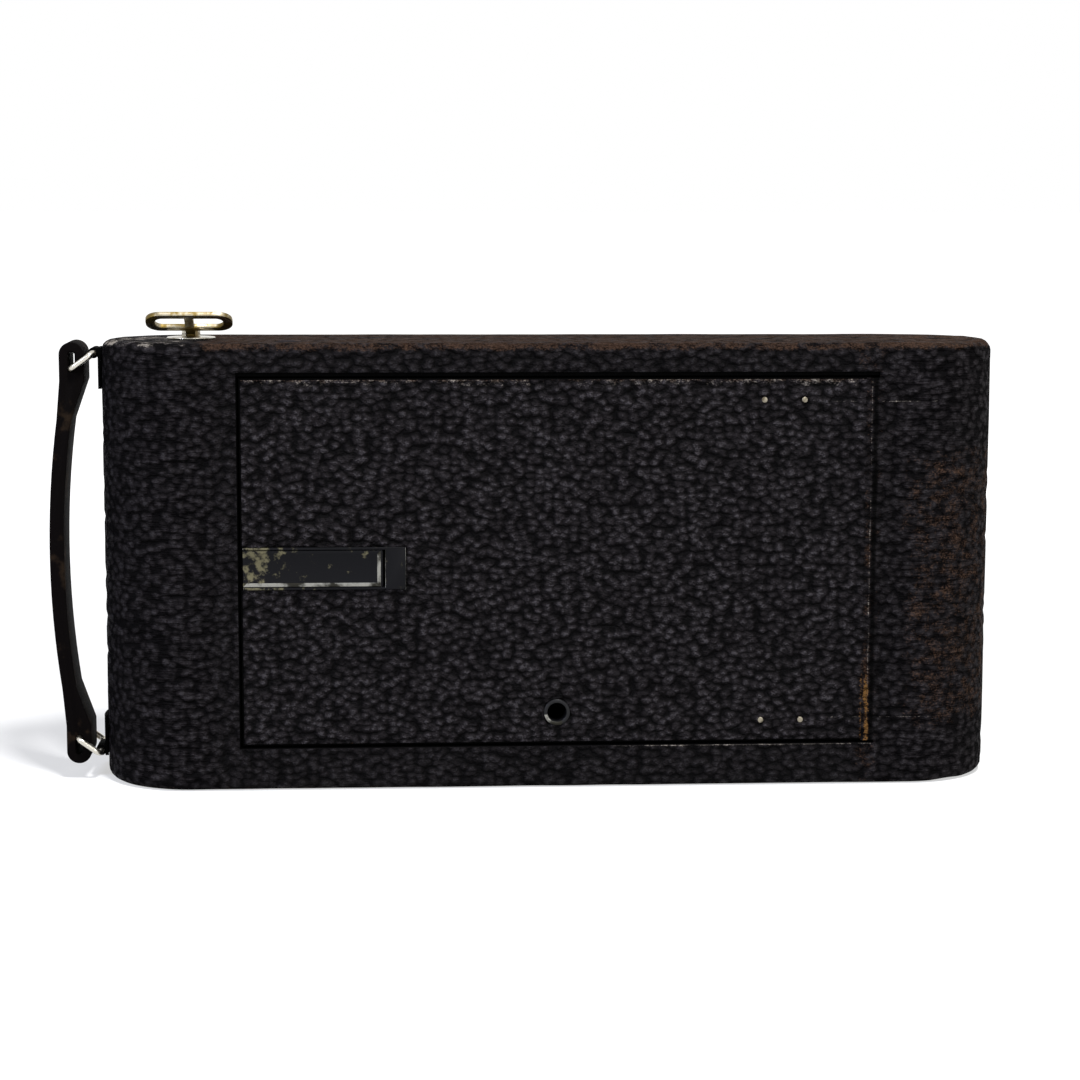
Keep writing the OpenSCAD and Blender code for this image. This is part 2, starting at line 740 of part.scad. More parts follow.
// Shutter: a drum on the board with its blades and iris, and a printed face
face_t = 1.5;
stops = 7;
aperture_turn = 25;
case_wall = 2;
neck_r = 8.4;
rear_cell_r = 11;
module shutter_case() color("#1c1c1c") difference() {
    rod_y(0, board_y - shutter_t, lens_z, shutter_r, shutter_t);
    rod_y(0, board_y - shutter_t - over, lens_z, shutter_r - case_wall, shutter_t - 2 + over);
    rod_y(0, board_y - shutter_t, lens_z, neck_r, 2 * shutter_t);
}
module shutter_face() color("black") difference() {
    rod_y(0, board_y - shutter_t - face_t, lens_z, shutter_r - 0.4, face_t);
    rod_y(0, board_y - shutter_t - face_t - over, lens_z, neck_r + slip, face_t + 2 * over);
    rod_y(-dial_out, board_y - shutter_t - face_t - over, lens_z, dial_pin_r + run_fit, face_t + 2 * over);
    lever_place() rod_y(0, board_y - shutter_t - face_t - over, 0, lever_pin_r + run_fit, face_t + 2 * over);
    for (i = [0 : stops - 1]) rotate_y(aperture_turn * (2 * i / (stops - 1) - 1))
        translate([shutter_r - 4.5, board_y - shutter_t - face_t - over, -0.25]) cube([3, over + 0.3, 0.5]);
}
module rotate_y(angle) translate([0, 0, lens_z]) rotate([0, angle, 0]) children();
barrel_gap = 1.4;
barrel_wall = 1.2;
bezel_w = 1;
bezel_depth = 1.6;
glass_in = 2.2;
front_glass_t = 2.5;
neck_short = 2.5;
module lens_barrel() color("goldenrod") {
    y0 = board_y - barrel_front;
    difference() {
        union() {
            rod_y(0, y0, lens_z, barrel_r, barrel_front - shutter_t - face_t - barrel_gap);
            rod_y(0, y0, lens_z, neck_r, barrel_front - neck_short);
        }
        rod_y(0, y0 - over, lens_z, neck_r - barrel_wall, barrel_front + 2 * over);
        rod_y(0, y0 - over, lens_z, barrel_r - bezel_w, bezel_depth + over);
    }
}
module front_glass() color("lightblue")
    rod_y(0, board_y - barrel_front + glass_in, lens_z, neck_r - barrel_wall, front_glass_t);
rear_cell_l = 8;
rear_wall = 1.6;
rear_rim = 1.5;
glass_t = 2;
module rear_cell() color("goldenrod") difference() {
    rod_y(0, board_y, lens_z, rear_cell_r, rear_cell_l);
    rod_y(0, board_y - over, lens_z, rear_cell_r - rear_wall, rear_cell_l + 2 * over);
}
module rear_glass() color("lightblue")
    rod_y(0, board_y + rear_cell_l - glass_t - rear_rim, lens_z, rear_cell_r - rear_wall, glass_t);
module iris_leaves() color("#303030") difference() {
    rod_y(0, board_y - shutter_t + 3, lens_z, shutter_r - case_wall - 0.2, 0.5);
    rod_y(0, board_y - shutter_t, lens_z, neck_r + slip, 8);
}
module shutter_blades() color("#101010") rod_y(0, board_y - 1.6, lens_z, neck_r - 0.1, 0.4);

// Controls on the shutter face
dial_out = 17;
dial_pin_r = 1.2;
dial_r = 5;
dial_t = 1.3;
knob_r = 2.6;
knob_t = 1.6;
lever_t = 0.9;
module speed_dial() color("silver") {
    y0 = board_y - shutter_t - face_t;
    rod_y(-dial_out, y0 - dial_t - slip, lens_z, dial_r, dial_t);
    rod_y(-dial_out, y0 - 2.8, lens_z, knob_r, knob_t);
    rod_y(-dial_out, y0 - clear, lens_z, dial_pin_r, face_t + clear);
}
module aperture_lever() color("silver") {
    y0 = board_y - shutter_t - face_t;
    difference() {
        union() {
            rod_y(0, y0 - lever_t - slip, lens_z, neck_r + 3.2, lever_t);
            rotate_y(-aperture_turn) {
                translate([0, y0 - lever_t - slip, -1]) cube([shutter_r - 3, lever_t, 2]);
                rod_y(shutter_r - 2.5, y0 - 2.2, 0, 1.3, 2.1);
            }
        }
        rod_y(0, y0 - over - 1, lens_z, neck_r + run_fit, 3);
    }
}
lever_pin_r = 0.9;
lever_out = 19.5;
lever_turn = -125;
module lever_place() rotate_y(lever_turn) translate([lever_out, 0, 0]) children();
module release_lever() color("silver") {
    y0 = board_y - shutter_t - face_t;
    lever_place() {
        rod_y(0, y0 - lever_t - slip, 0, 2, lever_t);
        rod_y(0, y0 - 0.2, 0, lever_pin_r, face_t + 0.2);
        translate([0, y0 - lever_t - slip, -1.1]) cube([8.5, lever_t, 2.2]);
        translate([7.2, y0 - lever_t - slip, -1.8]) cube([1.3, 3.2, 3.6]);
    }
}

// Reflecting finder that turns for upright and level pictures
finder_x = -28.5;
finder_up = 20.5;
finder_pin_r = 1.2;
finder_flange_r = 2.6;
finder_back = 2.2;
finder_l = 14;
finder_wall = 0.8;
finder_lens_r = 4.6;
view_l = 9.5;
view_w = 9;
view_from = 2;
mirror_t = 0.8;
module finder_at() translate([finder_x, board_y - finder_back - finder_l, lens_z + finder_up]) children();
module finder_inside() {
    in = finder_side - 2 * finder_wall;
    translate([-in / 2, finder_wall, -in / 2]) cube([in, finder_l - 2 * finder_wall, in]);
}
module finder_body() color("silver") {
    finder_at() difference() {
        translate([-finder_side / 2, 0, -finder_side / 2]) cube([finder_side, finder_l, finder_side]);
        finder_inside();
        rod_y(0, -over, 0, finder_lens_r, finder_wall + 2 * over);
        translate([-finder_side / 2 - over, view_from, -view_w / 2])
            cube([finder_wall + 2 * over, view_l, view_w]);
    }
    rod_y(finder_x, board_y - finder_back, lens_z + finder_up, finder_pin_r, finder_back + board_t - 0.2);
    rod_y(finder_x, board_y - finder_back, lens_z + finder_up, finder_flange_r, finder_back - slip);
}
module finder_lens() color("lightblue") finder_at() rod_y(0, 0, 0, finder_lens_r, finder_wall);
module finder_glass() color("lightblue")
    finder_at() translate([-finder_side / 2, view_from, -view_w / 2]) cube([finder_wall, view_l, view_w]);
module finder_mirror() color("silver")
    finder_at() intersection() {
        finder_inside();
        translate([0, finder_l / 2, -finder_side / 2]) rotate([0, 0, -45])
            translate([-finder_l, 0, 0]) cube([2 * finder_l, mirror_t, finder_side]);
    }

// Bellows folded up behind the board, each fold a ring that is smaller towards the front
bellows_rear_x = well_x - 7.5;
bellows_rear_z = well_z - 2.2;
bellows_front_x = 31;
bellows_front_z = 29.5;
fold_w = 7;
module bellows() color("#1b1715") {
    from = board_y + board_t;
    step = (gate_y - from) / folds;
    for (i = [0 : folds - 1]) {
        t = i / (folds - 1);
        x = bellows_front_x + t * (bellows_rear_x - bellows_front_x);
        z = bellows_front_z + t * (bellows_rear_z - bellows_front_z);
        difference() {
            translate([-x, from + i * step, lens_z - z]) cube([2 * x, step, 2 * z]);
            translate([-x + fold_w, from + i * step - over, lens_z - z + fold_w])
                cube([2 * (x - fold_w), step + 2 * over, 2 * (z - fold_w)]);
        }
    }
}

// Winding key
bush_r = 6.5;
bush_wall = 0.9;
bush_in = 3;
module key_bush() color("silver") translate([-end_x, 0, 0]) difference() {
    union() {
        translate([0, 0, body_h]) cylinder(r = bush_r, h = key_top);
        translate([0, 0, body_h - wall - bush_in]) cylinder(r = key_r + bush_wall, h = wall + bush_in);
    }
    translate([0, 0, body_h - 3 * wall]) cylinder(r = key_r + run_fit, h = 5 * wall);
}
spool_top = lens_z + spool_l / 2;
boss_r = 2.5;
boss_h = 2;
bow_post = 2.4;
bow_pin_r = 0.6;
bow_pin_in = 0.3;
bow_t = 1.3;
bow_root_r = 1.2;
blade_w = 6;
blade_t = 1.2;
blade_in = 3;
module key_shaft() color("silver") translate([-end_x, 0, 0]) {
    neck = 0.5;
    difference() {
        union() {
            translate([0, 0, spool_top + neck]) cylinder(r = key_r, h = body_h + key_top - spool_top);
            translate([0, 0, body_h + key_top + slip]) cylinder(r = boss_r, h = boss_h);
        }
        translate([-bow_post / 2 - slip, -2 * boss_r, bow_pivot_z - bow_root_r - slip])
            cube([bow_post + 2 * slip, 4 * boss_r, 2 * boss_h]);
    }
    translate([-blade_w / 2, -blade_t / 2, spool_top - blade_in]) cube([blade_w, blade_t, blade_in + neck + slip]);
    translate([-boss_r + bow_pin_in, 0, bow_pivot_z]) rotate([0, 90, 0])
        cylinder(r = bow_pin_r, h = 2 * (boss_r - bow_pin_in));
}

// Bow of the key: a flat rounded ring with two windows and a centre post
module rounded_bar(w, h, r) {
    square([w - 2 * r, h], center = true);
    square([w, h - 2 * r], center = true);
    for (x = [-1, 1], y = [-1, 1]) translate([x * (w / 2 - r), y * (h / 2 - r)]) circle(r);
}
bow_low = 2.9;
rim = 1.9;
module key_bow() color("silver")
    translate([-end_x, 0, bow_pivot_z]) rotate([180 - bow_lean, 0, 0]) {
        ring_h = bow_h - bow_low;
        translate([0, 0, -bow_t / 2]) linear_extrude(bow_t) {
            translate([0, bow_low + ring_h / 2]) difference() {
                rounded_bar(bow_w, ring_h, ring_h / 2 - 0.6);
                rounded_bar(bow_w - 2 * rim - 1.2, ring_h - 2 * rim, ring_h / 2 - rim - 0.6);
            }
            translate([-bow_post / 2, 1]) square([bow_post, bow_h - 1.6]);
        }
        difference() {
            union() {
                translate([-bow_post / 2, 0, 0]) rotate([0, 90, 0]) cylinder(r = bow_root_r, h = bow_post);
                translate([-bow_post / 2, 0, -bow_t / 2]) cube([bow_post, 2, bow_t]);
            }
            translate([-bow_post, 0, 0]) rotate([0, 90, 0])
                cylinder(r = bow_pin_r + run_fit, h = 2 * bow_post);
        }
    }

// Lugs on the left end, the wire rings in them, and the flat strap
lug_half = 4;
module lug(z, inward) {
    difference() {
        union() {
            translate([-end_x, 0, z + (inward > 0 ? -1.4 : -9.6)]) rotate([0, 0, 170])
                rotate_extrude(angle = 20) translate([body_d / 2 + 0.01, 0]) square([0.9, 11]);
            translate([knuckle_x, -lug_half, z]) rotate([-90, 0, 0])
                cylinder(r = wire_r + 0.65, h = 2 * lug_half);
            translate([knuckle_x, -lug_half, z - 0.8]) cube([1.4, 2 * lug_half, 1.6]);
        }
        translate([knuckle_x, -2 * lug_half, z]) rotate([-90, 0, 0])
            cylinder(r = wire_r + run_fit, h = 4 * lug_half);
    }
}
lug_z = strap_span / 2 + bar_drop;
module strap_lugs() color("silver") {
    lug(strap_mid_z + lug_z, -1);
    lug(strap_mid_z - lug_z, 1);
}
ring_half = strap_w / 2 + 1.5;
ring_bend = 1.5;
module wire_loop(l, w) {
    for (end = [0, 1]) translate([w / 2, 0, 0]) mirror([end, 0, 0]) translate([-w / 2, 0, 0]) {
        translate([0, ring_bend - l / 2, 0]) rotate([-90, 0, 0]) cylinder(r = wire_r, h = l - 2 * ring_bend);
        for (side = [0, 1]) mirror([0, side, 0]) translate([ring_bend, l / 2 - ring_bend, 0])
            rotate([0, 0, 90]) rotate_extrude(angle = 90) translate([ring_bend, 0]) circle(wire_r);
    }
    for (side = [-1, 1]) translate([ring_bend, side * l / 2, 0])
        rotate([0, 90, 0]) cylinder(r = wire_r, h = w - 2 * ring_bend);
}
module ring(up) {
    run = [bar_x - knuckle_x, up * (strap_span / 2 - lug_z)];
    translate([knuckle_x, 0, strap_mid_z + up * lug_z])
        rotate([0, -atan2(run[1], run[0]), 0]) wire_loop(2 * ring_half, norm(run));
}
module ring_top() color("silver") ring(1);
module ring_bottom() color("silver") ring(-1);

strap_arc_r = (pow(strap_span / 2, 2) + pow(strap_rise, 2)) / (2 * strap_rise);
strap_end = 7;
fold_l = 14;
module strap_band() {
    translate([bar_x - strap_rise + strap_arc_r, 0, 0]) difference() {
        cylinder(r = strap_arc_r + strap_t / 2, h = strap_w, $fn = 256);
        translate([0, 0, -over]) cylinder(r = strap_arc_r - strap_t / 2, h = strap_w + 2 * over, $fn = 256);
    }
}
module strap_fold() {
    e = strap_end_t / 2;
    end = strap_span / 2 + strap_end - e;
    tail = strap_span / 2 - fold_l;
    tail_x = bar_x - strap_rise + strap_arc_r - sqrt(pow(strap_arc_r, 2) - pow(tail, 2));
    translate([bar_x, end, 0]) cylinder(r = e, h = strap_w);
    linear_extrude(strap_w)
        polygon([[bar_x - e, end], [bar_x + e, end], [bar_x + e, end - fold_l / 2],
            [tail_x + strap_t / 2, tail], [tail_x - strap_t / 2, tail], [bar_x - e, end - fold_l / 2]]);
}
module strap_form() {
    intersection() {
        strap_band();
        translate([bar_x - strap_rise - strap_t, -strap_span / 2 + 2, 0])
            cube([strap_rise + 2 * strap_t, strap_span - 4, strap_w]);
    }
    for (up = [0, 1]) mirror([0, up, 0]) strap_fold();
}
module strap() color("#171311")
    translate([0, 0, strap_mid_z]) difference() {
        translate([0, strap_w / 2, 0]) rotate([90, 0, 0]) strap_form();
        for (up = [-1, 1]) {
            translate([bar_x, -body_d, up * strap_span / 2]) rotate([-90, 0, 0])
                cylinder(r = wire_r + slip, h = 2 * body_d);
            translate([bar_x, -body_d, up * (strap_span / 2 + slot_run)]) rotate([-90, 0, 0])
                cylinder(r = wire_r + slip, h = 2 * body_d);
            translate([bar_x - wire_r - slip, -body_d, up * (strap_span / 2 + slot_run / 2) - slot_run / 2])
                cube([2 * (wire_r + slip), 2 * body_d, slot_run]);
        }
    }

body_shell();
body_leather();
inner_frame();
film_gate();
body_hinge_leaf();
hinge_pin();
key_bush();
strap_lugs();
spool_pins();
body_socket();
button_spring();
back_cover();
back_leather();
window_ring();
red_window();
back_catch_left();
back_catch_right();
door_panel();
door_leather();
door_hinge_leaf();
bed_rails();
leg_carriage();
focus_scale();
strut_brackets();
bed_socket();
foot_frame();
door_rivets();
door_catch();
bed_foot();
leg_frame();
strut_upper();
strut_lower();
standard_frame();
lens_board();
shutter_case();
shutter_face();
lens_barrel();
front_glass();
rear_cell();
rear_glass();
iris_leaves();
shutter_blades();
bellows();
speed_dial();
aperture_lever();
release_lever();
finder_body();
finder_lens();
finder_mirror();
finder_glass();
key_shaft();
key_bow();
takeup_spool();
guide_roller_left();
guide_roller_right();
release_button();
strap();
ring_top();
ring_bottom();
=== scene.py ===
"""Dresses the folding pocket camera in leather, enamel, metal and glass, with bellows and a plain stage."""

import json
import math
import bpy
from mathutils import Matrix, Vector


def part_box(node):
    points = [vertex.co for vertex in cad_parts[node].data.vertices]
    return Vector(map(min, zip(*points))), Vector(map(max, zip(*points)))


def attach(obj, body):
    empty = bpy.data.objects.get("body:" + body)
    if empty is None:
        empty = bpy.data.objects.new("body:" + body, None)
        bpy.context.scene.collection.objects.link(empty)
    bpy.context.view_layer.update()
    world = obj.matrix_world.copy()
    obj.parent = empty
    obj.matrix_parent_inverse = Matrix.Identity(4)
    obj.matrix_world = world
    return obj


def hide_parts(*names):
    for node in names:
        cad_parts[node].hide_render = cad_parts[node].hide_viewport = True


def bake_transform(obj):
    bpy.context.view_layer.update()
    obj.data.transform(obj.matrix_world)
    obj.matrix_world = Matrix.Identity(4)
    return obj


bl_info = {
    "name": "Folding pocket camera",
    "version": (1, 0, 0),
    "blender": (4, 5, 0),
    "location": "3D View > Sidebar > Pocket camera",
    "description": "Leather, metal, glass and bellows of a folding pocket camera, with a plain stage",
    "category": "Object",
}

from functools import partial

import bmesh
import bpy
from bmesh.types import BMEdge, BMVert
from mathutils import Matrix, Vector, noise

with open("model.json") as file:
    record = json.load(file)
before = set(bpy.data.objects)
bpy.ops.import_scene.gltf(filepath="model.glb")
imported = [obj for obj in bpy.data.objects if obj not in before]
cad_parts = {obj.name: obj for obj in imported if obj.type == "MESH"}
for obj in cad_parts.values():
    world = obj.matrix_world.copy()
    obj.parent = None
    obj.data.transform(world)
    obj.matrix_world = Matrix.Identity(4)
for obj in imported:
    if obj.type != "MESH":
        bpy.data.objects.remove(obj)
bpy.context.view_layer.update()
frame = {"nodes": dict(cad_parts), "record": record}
MM = 0.001


def linear(code):
    """Linear colour of an sRGB hex value."""
    parts = [int(code[i:i + 2], 16) / 255 for i in (1, 3, 5)]
    return [c / 12.92 if c <= 0.04045 else ((c + 0.055) / 1.055) ** 2.4 for c in parts]


def span(node):
    """Lowest and highest corner of a CAD node, in millimetres."""
    low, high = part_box(node)
    return low / MM, high / MM


def middle(node):
    """Middle of a CAD node, in millimetres."""
    low, high = span(node)
    return (low + high) / 2


# Axis numbers, then places and sizes of the camera in millimetres
X, Y, Z = range(3)
BODY_LOW, BODY_HIGH = span("body_leather")
DOOR_LOW, DOOR_HIGH = span("door_leather")
FRONT_Y = BODY_LOW.y
END_R = -FRONT_Y
END_X = BODY_HIGH.x - END_R
TOP_Z = BODY_HIGH.z
LENS_Z = middle("door_leather").z
HINGE_X = DOOR_HIGH.x + 0.5
# The hinge leaf has pressed two lines through the covering, one above the lens and one below
LEAF_INSET = 6.3
LINE_RISE = (DOOR_HIGH.z - DOOR_LOW.z) / 2 - LEAF_INSET


def colour(name, description, code):
    """Colour setting with its default from a hex value."""
    return bpy.props.FloatVectorProperty(name=name, description=description, subtype="COLOR", size=3,
                                         min=0, max=1, default=linear(code))


def size(name, description, default):
    """Length setting in metres, shown in the scene's unit."""
    return bpy.props.FloatProperty(name=name, description=description, default=default * MM, min=0,
                                   precision=5, subtype="DISTANCE", unit="LENGTH")


def angle(name, description, degrees):
    """Angle setting."""
    return bpy.props.FloatProperty(name=name, description=description, subtype="ANGLE",
                                   default=math.radians(degrees))


class LeatherSettings(bpy.types.PropertyGroup):
    """Sizes and colours of the covering, strap and bellows."""
    black: colour("Black", "Dyed face of the covering", "#252224")
    # Grey tips: partly rubbed dye, partly painted glints that stand in for the lamps' reflections on the
    # pebbles
    rubbed_tip_and_glint: colour("Tip", "High points of the pebbles, rubbed grey", "#434043")
    # Near-black of the valleys: painted shade for the shadow in the pits; the dull cut edges take it too,
    # standing in for the shade in the gaps
    valley_and_gap_shade: colour("Valley", "Valleys between the pebbles, full of old polish", "#0b0a0b")
    # Pale grey of scuffs, also used for painted highlights on edges and lips that catch the light
    scuffed: colour("Scuffed", "Pale scuffs on the edges", "#8d867e")
    worn: colour("Worn", "Brown leather under the rubbed dye", "#46352b")
    frayed: colour("Frayed", "Tan fibres where the covering has torn", "#6e4f2b")
    strap: colour("Strap", "Dyed strap leather", "#080606")
    thread: colour("Thread", "Waxed stitching", "#2a2320")
    bellows: colour("Bellows", "Goatskin of the bellows", "#5c1d16")
    grain: size("Grain", "Width of one pebble of the grain", 2.4)
    grain_depth: size("Grain depth", "Bump distance, deeper than real pebbles so that they show", 1.9)
    hide: size("Hide", "Thickness of the covering", 0.8)
    mesh_step: size("Mesh step", "Spacing of the covering's mesh", 1.6)
    pleat: size("Pleat", "Depth of a bellows pleat", 6.2)


class MetalSettings(bpy.types.PropertyGroup):
    """Colours of the metals and the easing of their edges."""
    nickel: colour("Nickel", "Nickel plate", "#c9c5ba")
    brass: colour("Brass", "Lacquered brass", "#b08a4a")
    steel: colour("Steel", "Bright steel", "#b9bbbd")
    enamel: colour("Enamel", "Baked black enamel", "#111113")
    easing: size("Easing", "Rounding of the metal edges", 0.2)


class GlassSettings(bpy.types.PropertyGroup):
    """Colours of the glasses."""
    lens: colour("Lens", "Colourless lens glass", "#f4f8f6")
    ruby: colour("Ruby", "Ruby sheet of the film window", "#7a0d0a")


class StageSettings(bpy.types.PropertyGroup):
    """Floor, light and view."""
    floor: colour("Floor", "Pale floor", "#b4b4b4")
    focal: bpy.props.FloatProperty(name="Focal length", description="Focal length of the view in millimetres",
                                   default=87.27, min=10)
    view_place: bpy.props.FloatVectorProperty(name="View place", description="Where the view is taken from",
                                              subtype="TRANSLATION", unit="LENGTH", precision=4,
                                              default=(-0.0462, -0.7088, 0.1582))
    view_down: angle("Tilt", "How far the view looks down", 7.57)
    view_aside: angle("Turn", "How far the view turns to the right", 3.53)
    view_roll: angle("Roll", "How far the view leans", 0.13)


# Nodes and materials

# Kinds of node: type, the output that is used, and settings
KINDS = {
    "place": ("TexCoord", "Object", {}),
    "scaled": ("Mapping", "Vector", {}),
    "along": ("SeparateXYZ", "X", {}),
    "length": ("VectorMath", "Value", {"operation": "LENGTH"}),
    "shifted": ("VectorMath", "Vector", {"operation": "MULTIPLY_ADD"}),
    "noise": ("TexNoise", "Fac", {}),
    "pebbles": ("TexVoronoi", "Distance", {"feature": "SMOOTH_F1"}),
    "painted": ("Attribute", "Fac", {}),
    "sum": ("Math", "Value", {"operation": "ADD"}),
    "product": ("Math", "Value", {"operation": "MULTIPLY"}),
    "larger": ("Math", "Value", {"operation": "MAXIMUM"}),
    "step": ("MapRange", "Result", {"interpolation_type": "SMOOTHSTEP"}),
    "mix": ("Mix", "Result", {"data_type": "RGBA"}),
    "bump": ("Bump", "Normal", {}),
    "ray": ("LightPath", "Is Camera Ray", {}),
}


def plug(socket, value):
    """Links an input to an output, or sets it to a number, vector, colour or hex value."""
    if isinstance(value, bpy.types.NodeSocket):
        socket.id_data.links.new(value, socket)
        return
    if isinstance(value, str):
        value = linear(value)
    socket.default_value = (*value, 1) if socket.type == "RGBA" else value


def set_node(node, **values):
    """Sets a node's settings, and links or sets its inputs, whose names start with a capital letter."""
    for name, value in values.items():
        if name.islower():
            setattr(node, name, value)
        else:
            plug(node.inputs[name.replace("_", " ")], value)


def add_node(tree, kind, *inputs, output=None, **values):
    """Adds a node with its first inputs in order and other values by name, and returns its output."""
    type_name, main_output, settings = KINDS[kind]
    node = tree.nodes.new("ShaderNode" + type_name)
    set_node(node, **settings, **values)
    for socket, value in zip(node.inputs, inputs):
        plug(socket, value)
    return node.outputs[output or main_output]


def new_material(name):
    """New material, its principled shader, and add_node for its tree."""
    material = bpy.data.materials.new(name)
    material.use_nodes = True
    tree = material.node_tree
    return material, tree.nodes["Principled BSDF"], partial(add_node, tree)


def surface_mm(add, scale=(1, 1, 1)):
    """Place on the object in millimetres, stretched by a scale."""
    return add("scaled", add("place"), Scale=[s / MM for s in scale])


def patches(add, place, scale, low, high, detail=6.0):
    """Mask of irregular patches, from a noise cut between two levels."""
    return add("step", add("noise", place, Scale=scale, Detail=detail, Roughness=0.6), low, high)


def pebbled_leather(name, settings, shade=1.0):
    """Dyed, pebble-grained cowhide: soft broken highlights on each pebble, partly painted as grey tips,
    painted shade in the valleys, brown where the dye is rubbed off.

    Shade scales the black of the faces, and the grey tips by its square; the body and back take 0.72, the
    door 1.
    """
    material, shader, add = new_material(name)
    place = surface_mm(add, (1.0, 1.0, 1.35))
    warp = add("noise", place, output="Color", Scale=0.5, Detail=3.0)
    bent = add("shifted", warp, (1.6, 1.6, 1.6), place)
    middles = add("pebbles", bent, Scale=MM / settings.grain, Randomness=0.9, Smoothness=0.25)
    dome = add("product", add("product", middles, middles), -1.5)
    swell = add("noise", place, Scale=0.42, Detail=3.0, Roughness=0.6)
    pebble = add("sum", dome, add("product", swell, 1.1))
    fine = add("noise", place, Scale=1.7, Detail=3.0, Roughness=0.65)
    broad = add("noise", place, Scale=0.22, Detail=6.0, Roughness=0.7)
    folds = add("noise", surface_mm(add, (0.08, 0.08, 0.5)), Scale=1.0, Detail=3.0, Roughness=0.55)
    worn_in, torn_in, creased_in, scuffed_in, crease_shade_in = (
        add("painted", attribute_name=field) for field in ("wear", "fray", "crease", "scuff", "grime"))
    # Relief: pebbles with a fine tooth, flatter and folded where the covering has creased
    height = add("sum", pebble, add("product", fine, 0.45))
    height = add("product", height, add("step", creased_in, 0.0, 1.0, 1.0, 0.5))
    height = add("sum", height, add("product", add("product", folds, creased_in), 2.4))
    # Colour: black faces of random tone, a near-black painted shade in the valleys, grey tips that are partly
    # rubbed dye and partly painted glints
    black = [c * shade for c in settings.black]
    face = add("mix", Factor=broad, A=[c * 0.6 for c in black], B=[c * 1.4 for c in black])
    # Painted shade: the valleys between the pebbles take the near-black
    out_of_valley_shade = add("product", add("step", pebble, -0.15, 0.45), add("step", fine, 0.2, 0.6, 0.5, 1.0))
    tone = add("mix", Factor=out_of_valley_shade, A=settings.valley_and_gap_shade, B=face)
    # Painted glints: the high points turn grey, partly as rubbed dye
    rubbed_and_glint_tips = add("step", add("sum", pebble, fine), 0.85, 1.2)
    tone = add("mix", Factor=rubbed_and_glint_tips, A=tone, B=[c * shade * shade for c in settings.rubbed_tip_and_glint])
    # Wear and painted light, from the fields painted on the mesh: brown rubbed dye, black painted shade in
    # the hinge's crease, pale scuffs and painted highlights, tan torn fibres; all but the crease shade break
    # up into patches
    ready = add("sum", add("product", broad, 0.7), add("product", fine, 0.5))
    worn = add("step", add("sum", ready, worn_in), 0.95, 1.15)
    dark_brown = [c * 0.35 for c in settings.worn]
    brown = add("mix", Factor=add("step", fine, 0.35, 0.65), A=dark_brown, B=settings.worn)
    scuffed = add("step", add("sum", ready, scuffed_in), 1.05, 1.2)
    scuffed = add("product", scuffed, add("step", pebble, 0.0, 0.4, 0.2, 1.0))
    torn = add("step", add("sum", fine, torn_in), 1.0, 1.15)
    # The black over the crease is painted shade, and the pale mask is partly painted highlight
    for mask, over in ((worn, brown), (crease_shade_in, (0, 0, 0)), (scuffed, settings.scuffed),
                       (torn, settings.frayed)):
        tone = add("mix", Factor=mask, A=tone, B=over)
    rubbed = add("step", add("sum", worn_in, creased_in), 0.1, 0.5, 0.0, 0.4)
    set_node(shader, Base_Color=tone, Specular_IOR_Level=0.025,
             Roughness=add("sum", add("step", pebble, -0.1, 0.35, 0.6, 0.3), rubbed),
             Normal=add("bump", Height=height, Strength=1.0, Distance=settings.grain_depth))
    return material


def smooth_leather(name, tone, worn, scale, roughness):
    """Smooth-grained leather, dyed and waxed: a dull sheen, fine creases and rubbed brown patches."""
    material, shader, add = new_material(name)
    place = surface_mm(add)
    fine = add("noise", place, Scale=scale * 2.5, Detail=5.0, Roughness=0.65)
    rubbed = patches(add, place, 0.16 * scale, 0.56, 0.68)
    set_node(shader, Base_Color=add("mix", Factor=rubbed, A=tone, B=worn), Specular_IOR_Level=0.02,
             Roughness=add("step", fine, 0.3, 0.7, roughness - 0.1, roughness + 0.15),
             Normal=add("bump", Height=fine, Strength=0.7, Distance=0.15 * MM))
    return material


def worn_metal(name, tone, tarnish, roughness, cover):
    """Plated or bare metal: mirror-like with fine scratches, dull where tarnish has started.

    A higher cover leaves less tarnish.
    """
    material, shader, add = new_material(name)
    old = patches(add, surface_mm(add), 0.22, cover - 0.1, cover + 0.08)
    lines = add("noise", surface_mm(add, (0.4, 3.0, 5.0)), Scale=1.0, Detail=2.0)
    scratched = add("step", lines, 0.3, 0.7, roughness - 0.05, roughness + 0.08)
    set_node(shader, Base_Color=add("mix", Factor=old, A=tone, B=tarnish), Metallic=1.0,
             Roughness=add("sum", scratched, add("product", old, 0.2)),
             Normal=add("bump", Height=lines, Strength=0.5, Distance=0.02 * MM))
    return material


def baked_enamel(name, tone, bare, roughness, cover, specular, rubbed=None):
    """Black enamel baked on brass: a soft even gloss, with bare metal in a few small chips.

    A higher cover leaves fewer chips; rubbed gives the places in x where they start and end to grow.
    """
    material, shader, add = new_material(name)
    place = surface_mm(add)
    field = add("noise", place, Scale=0.35, Detail=8.0, Roughness=0.65)
    if rubbed:
        field = add("sum", field, add("step", add("along", place), *rubbed, 0.0, 0.16))
    chips = add("step", field, cover - 0.06, cover + 0.06)
    peel = add("noise", place, Scale=1.4, Detail=2.0)
    set_node(shader, Base_Color=add("mix", Factor=chips, A=tone, B=bare), Metallic=chips,
             Roughness=add("step", peel, 0.3, 0.7, roughness - 0.05, roughness + 0.1),
             Specular_IOR_Level=specular, Normal=add("bump", Height=peel, Strength=0.4, Distance=0.04 * MM))
    return material


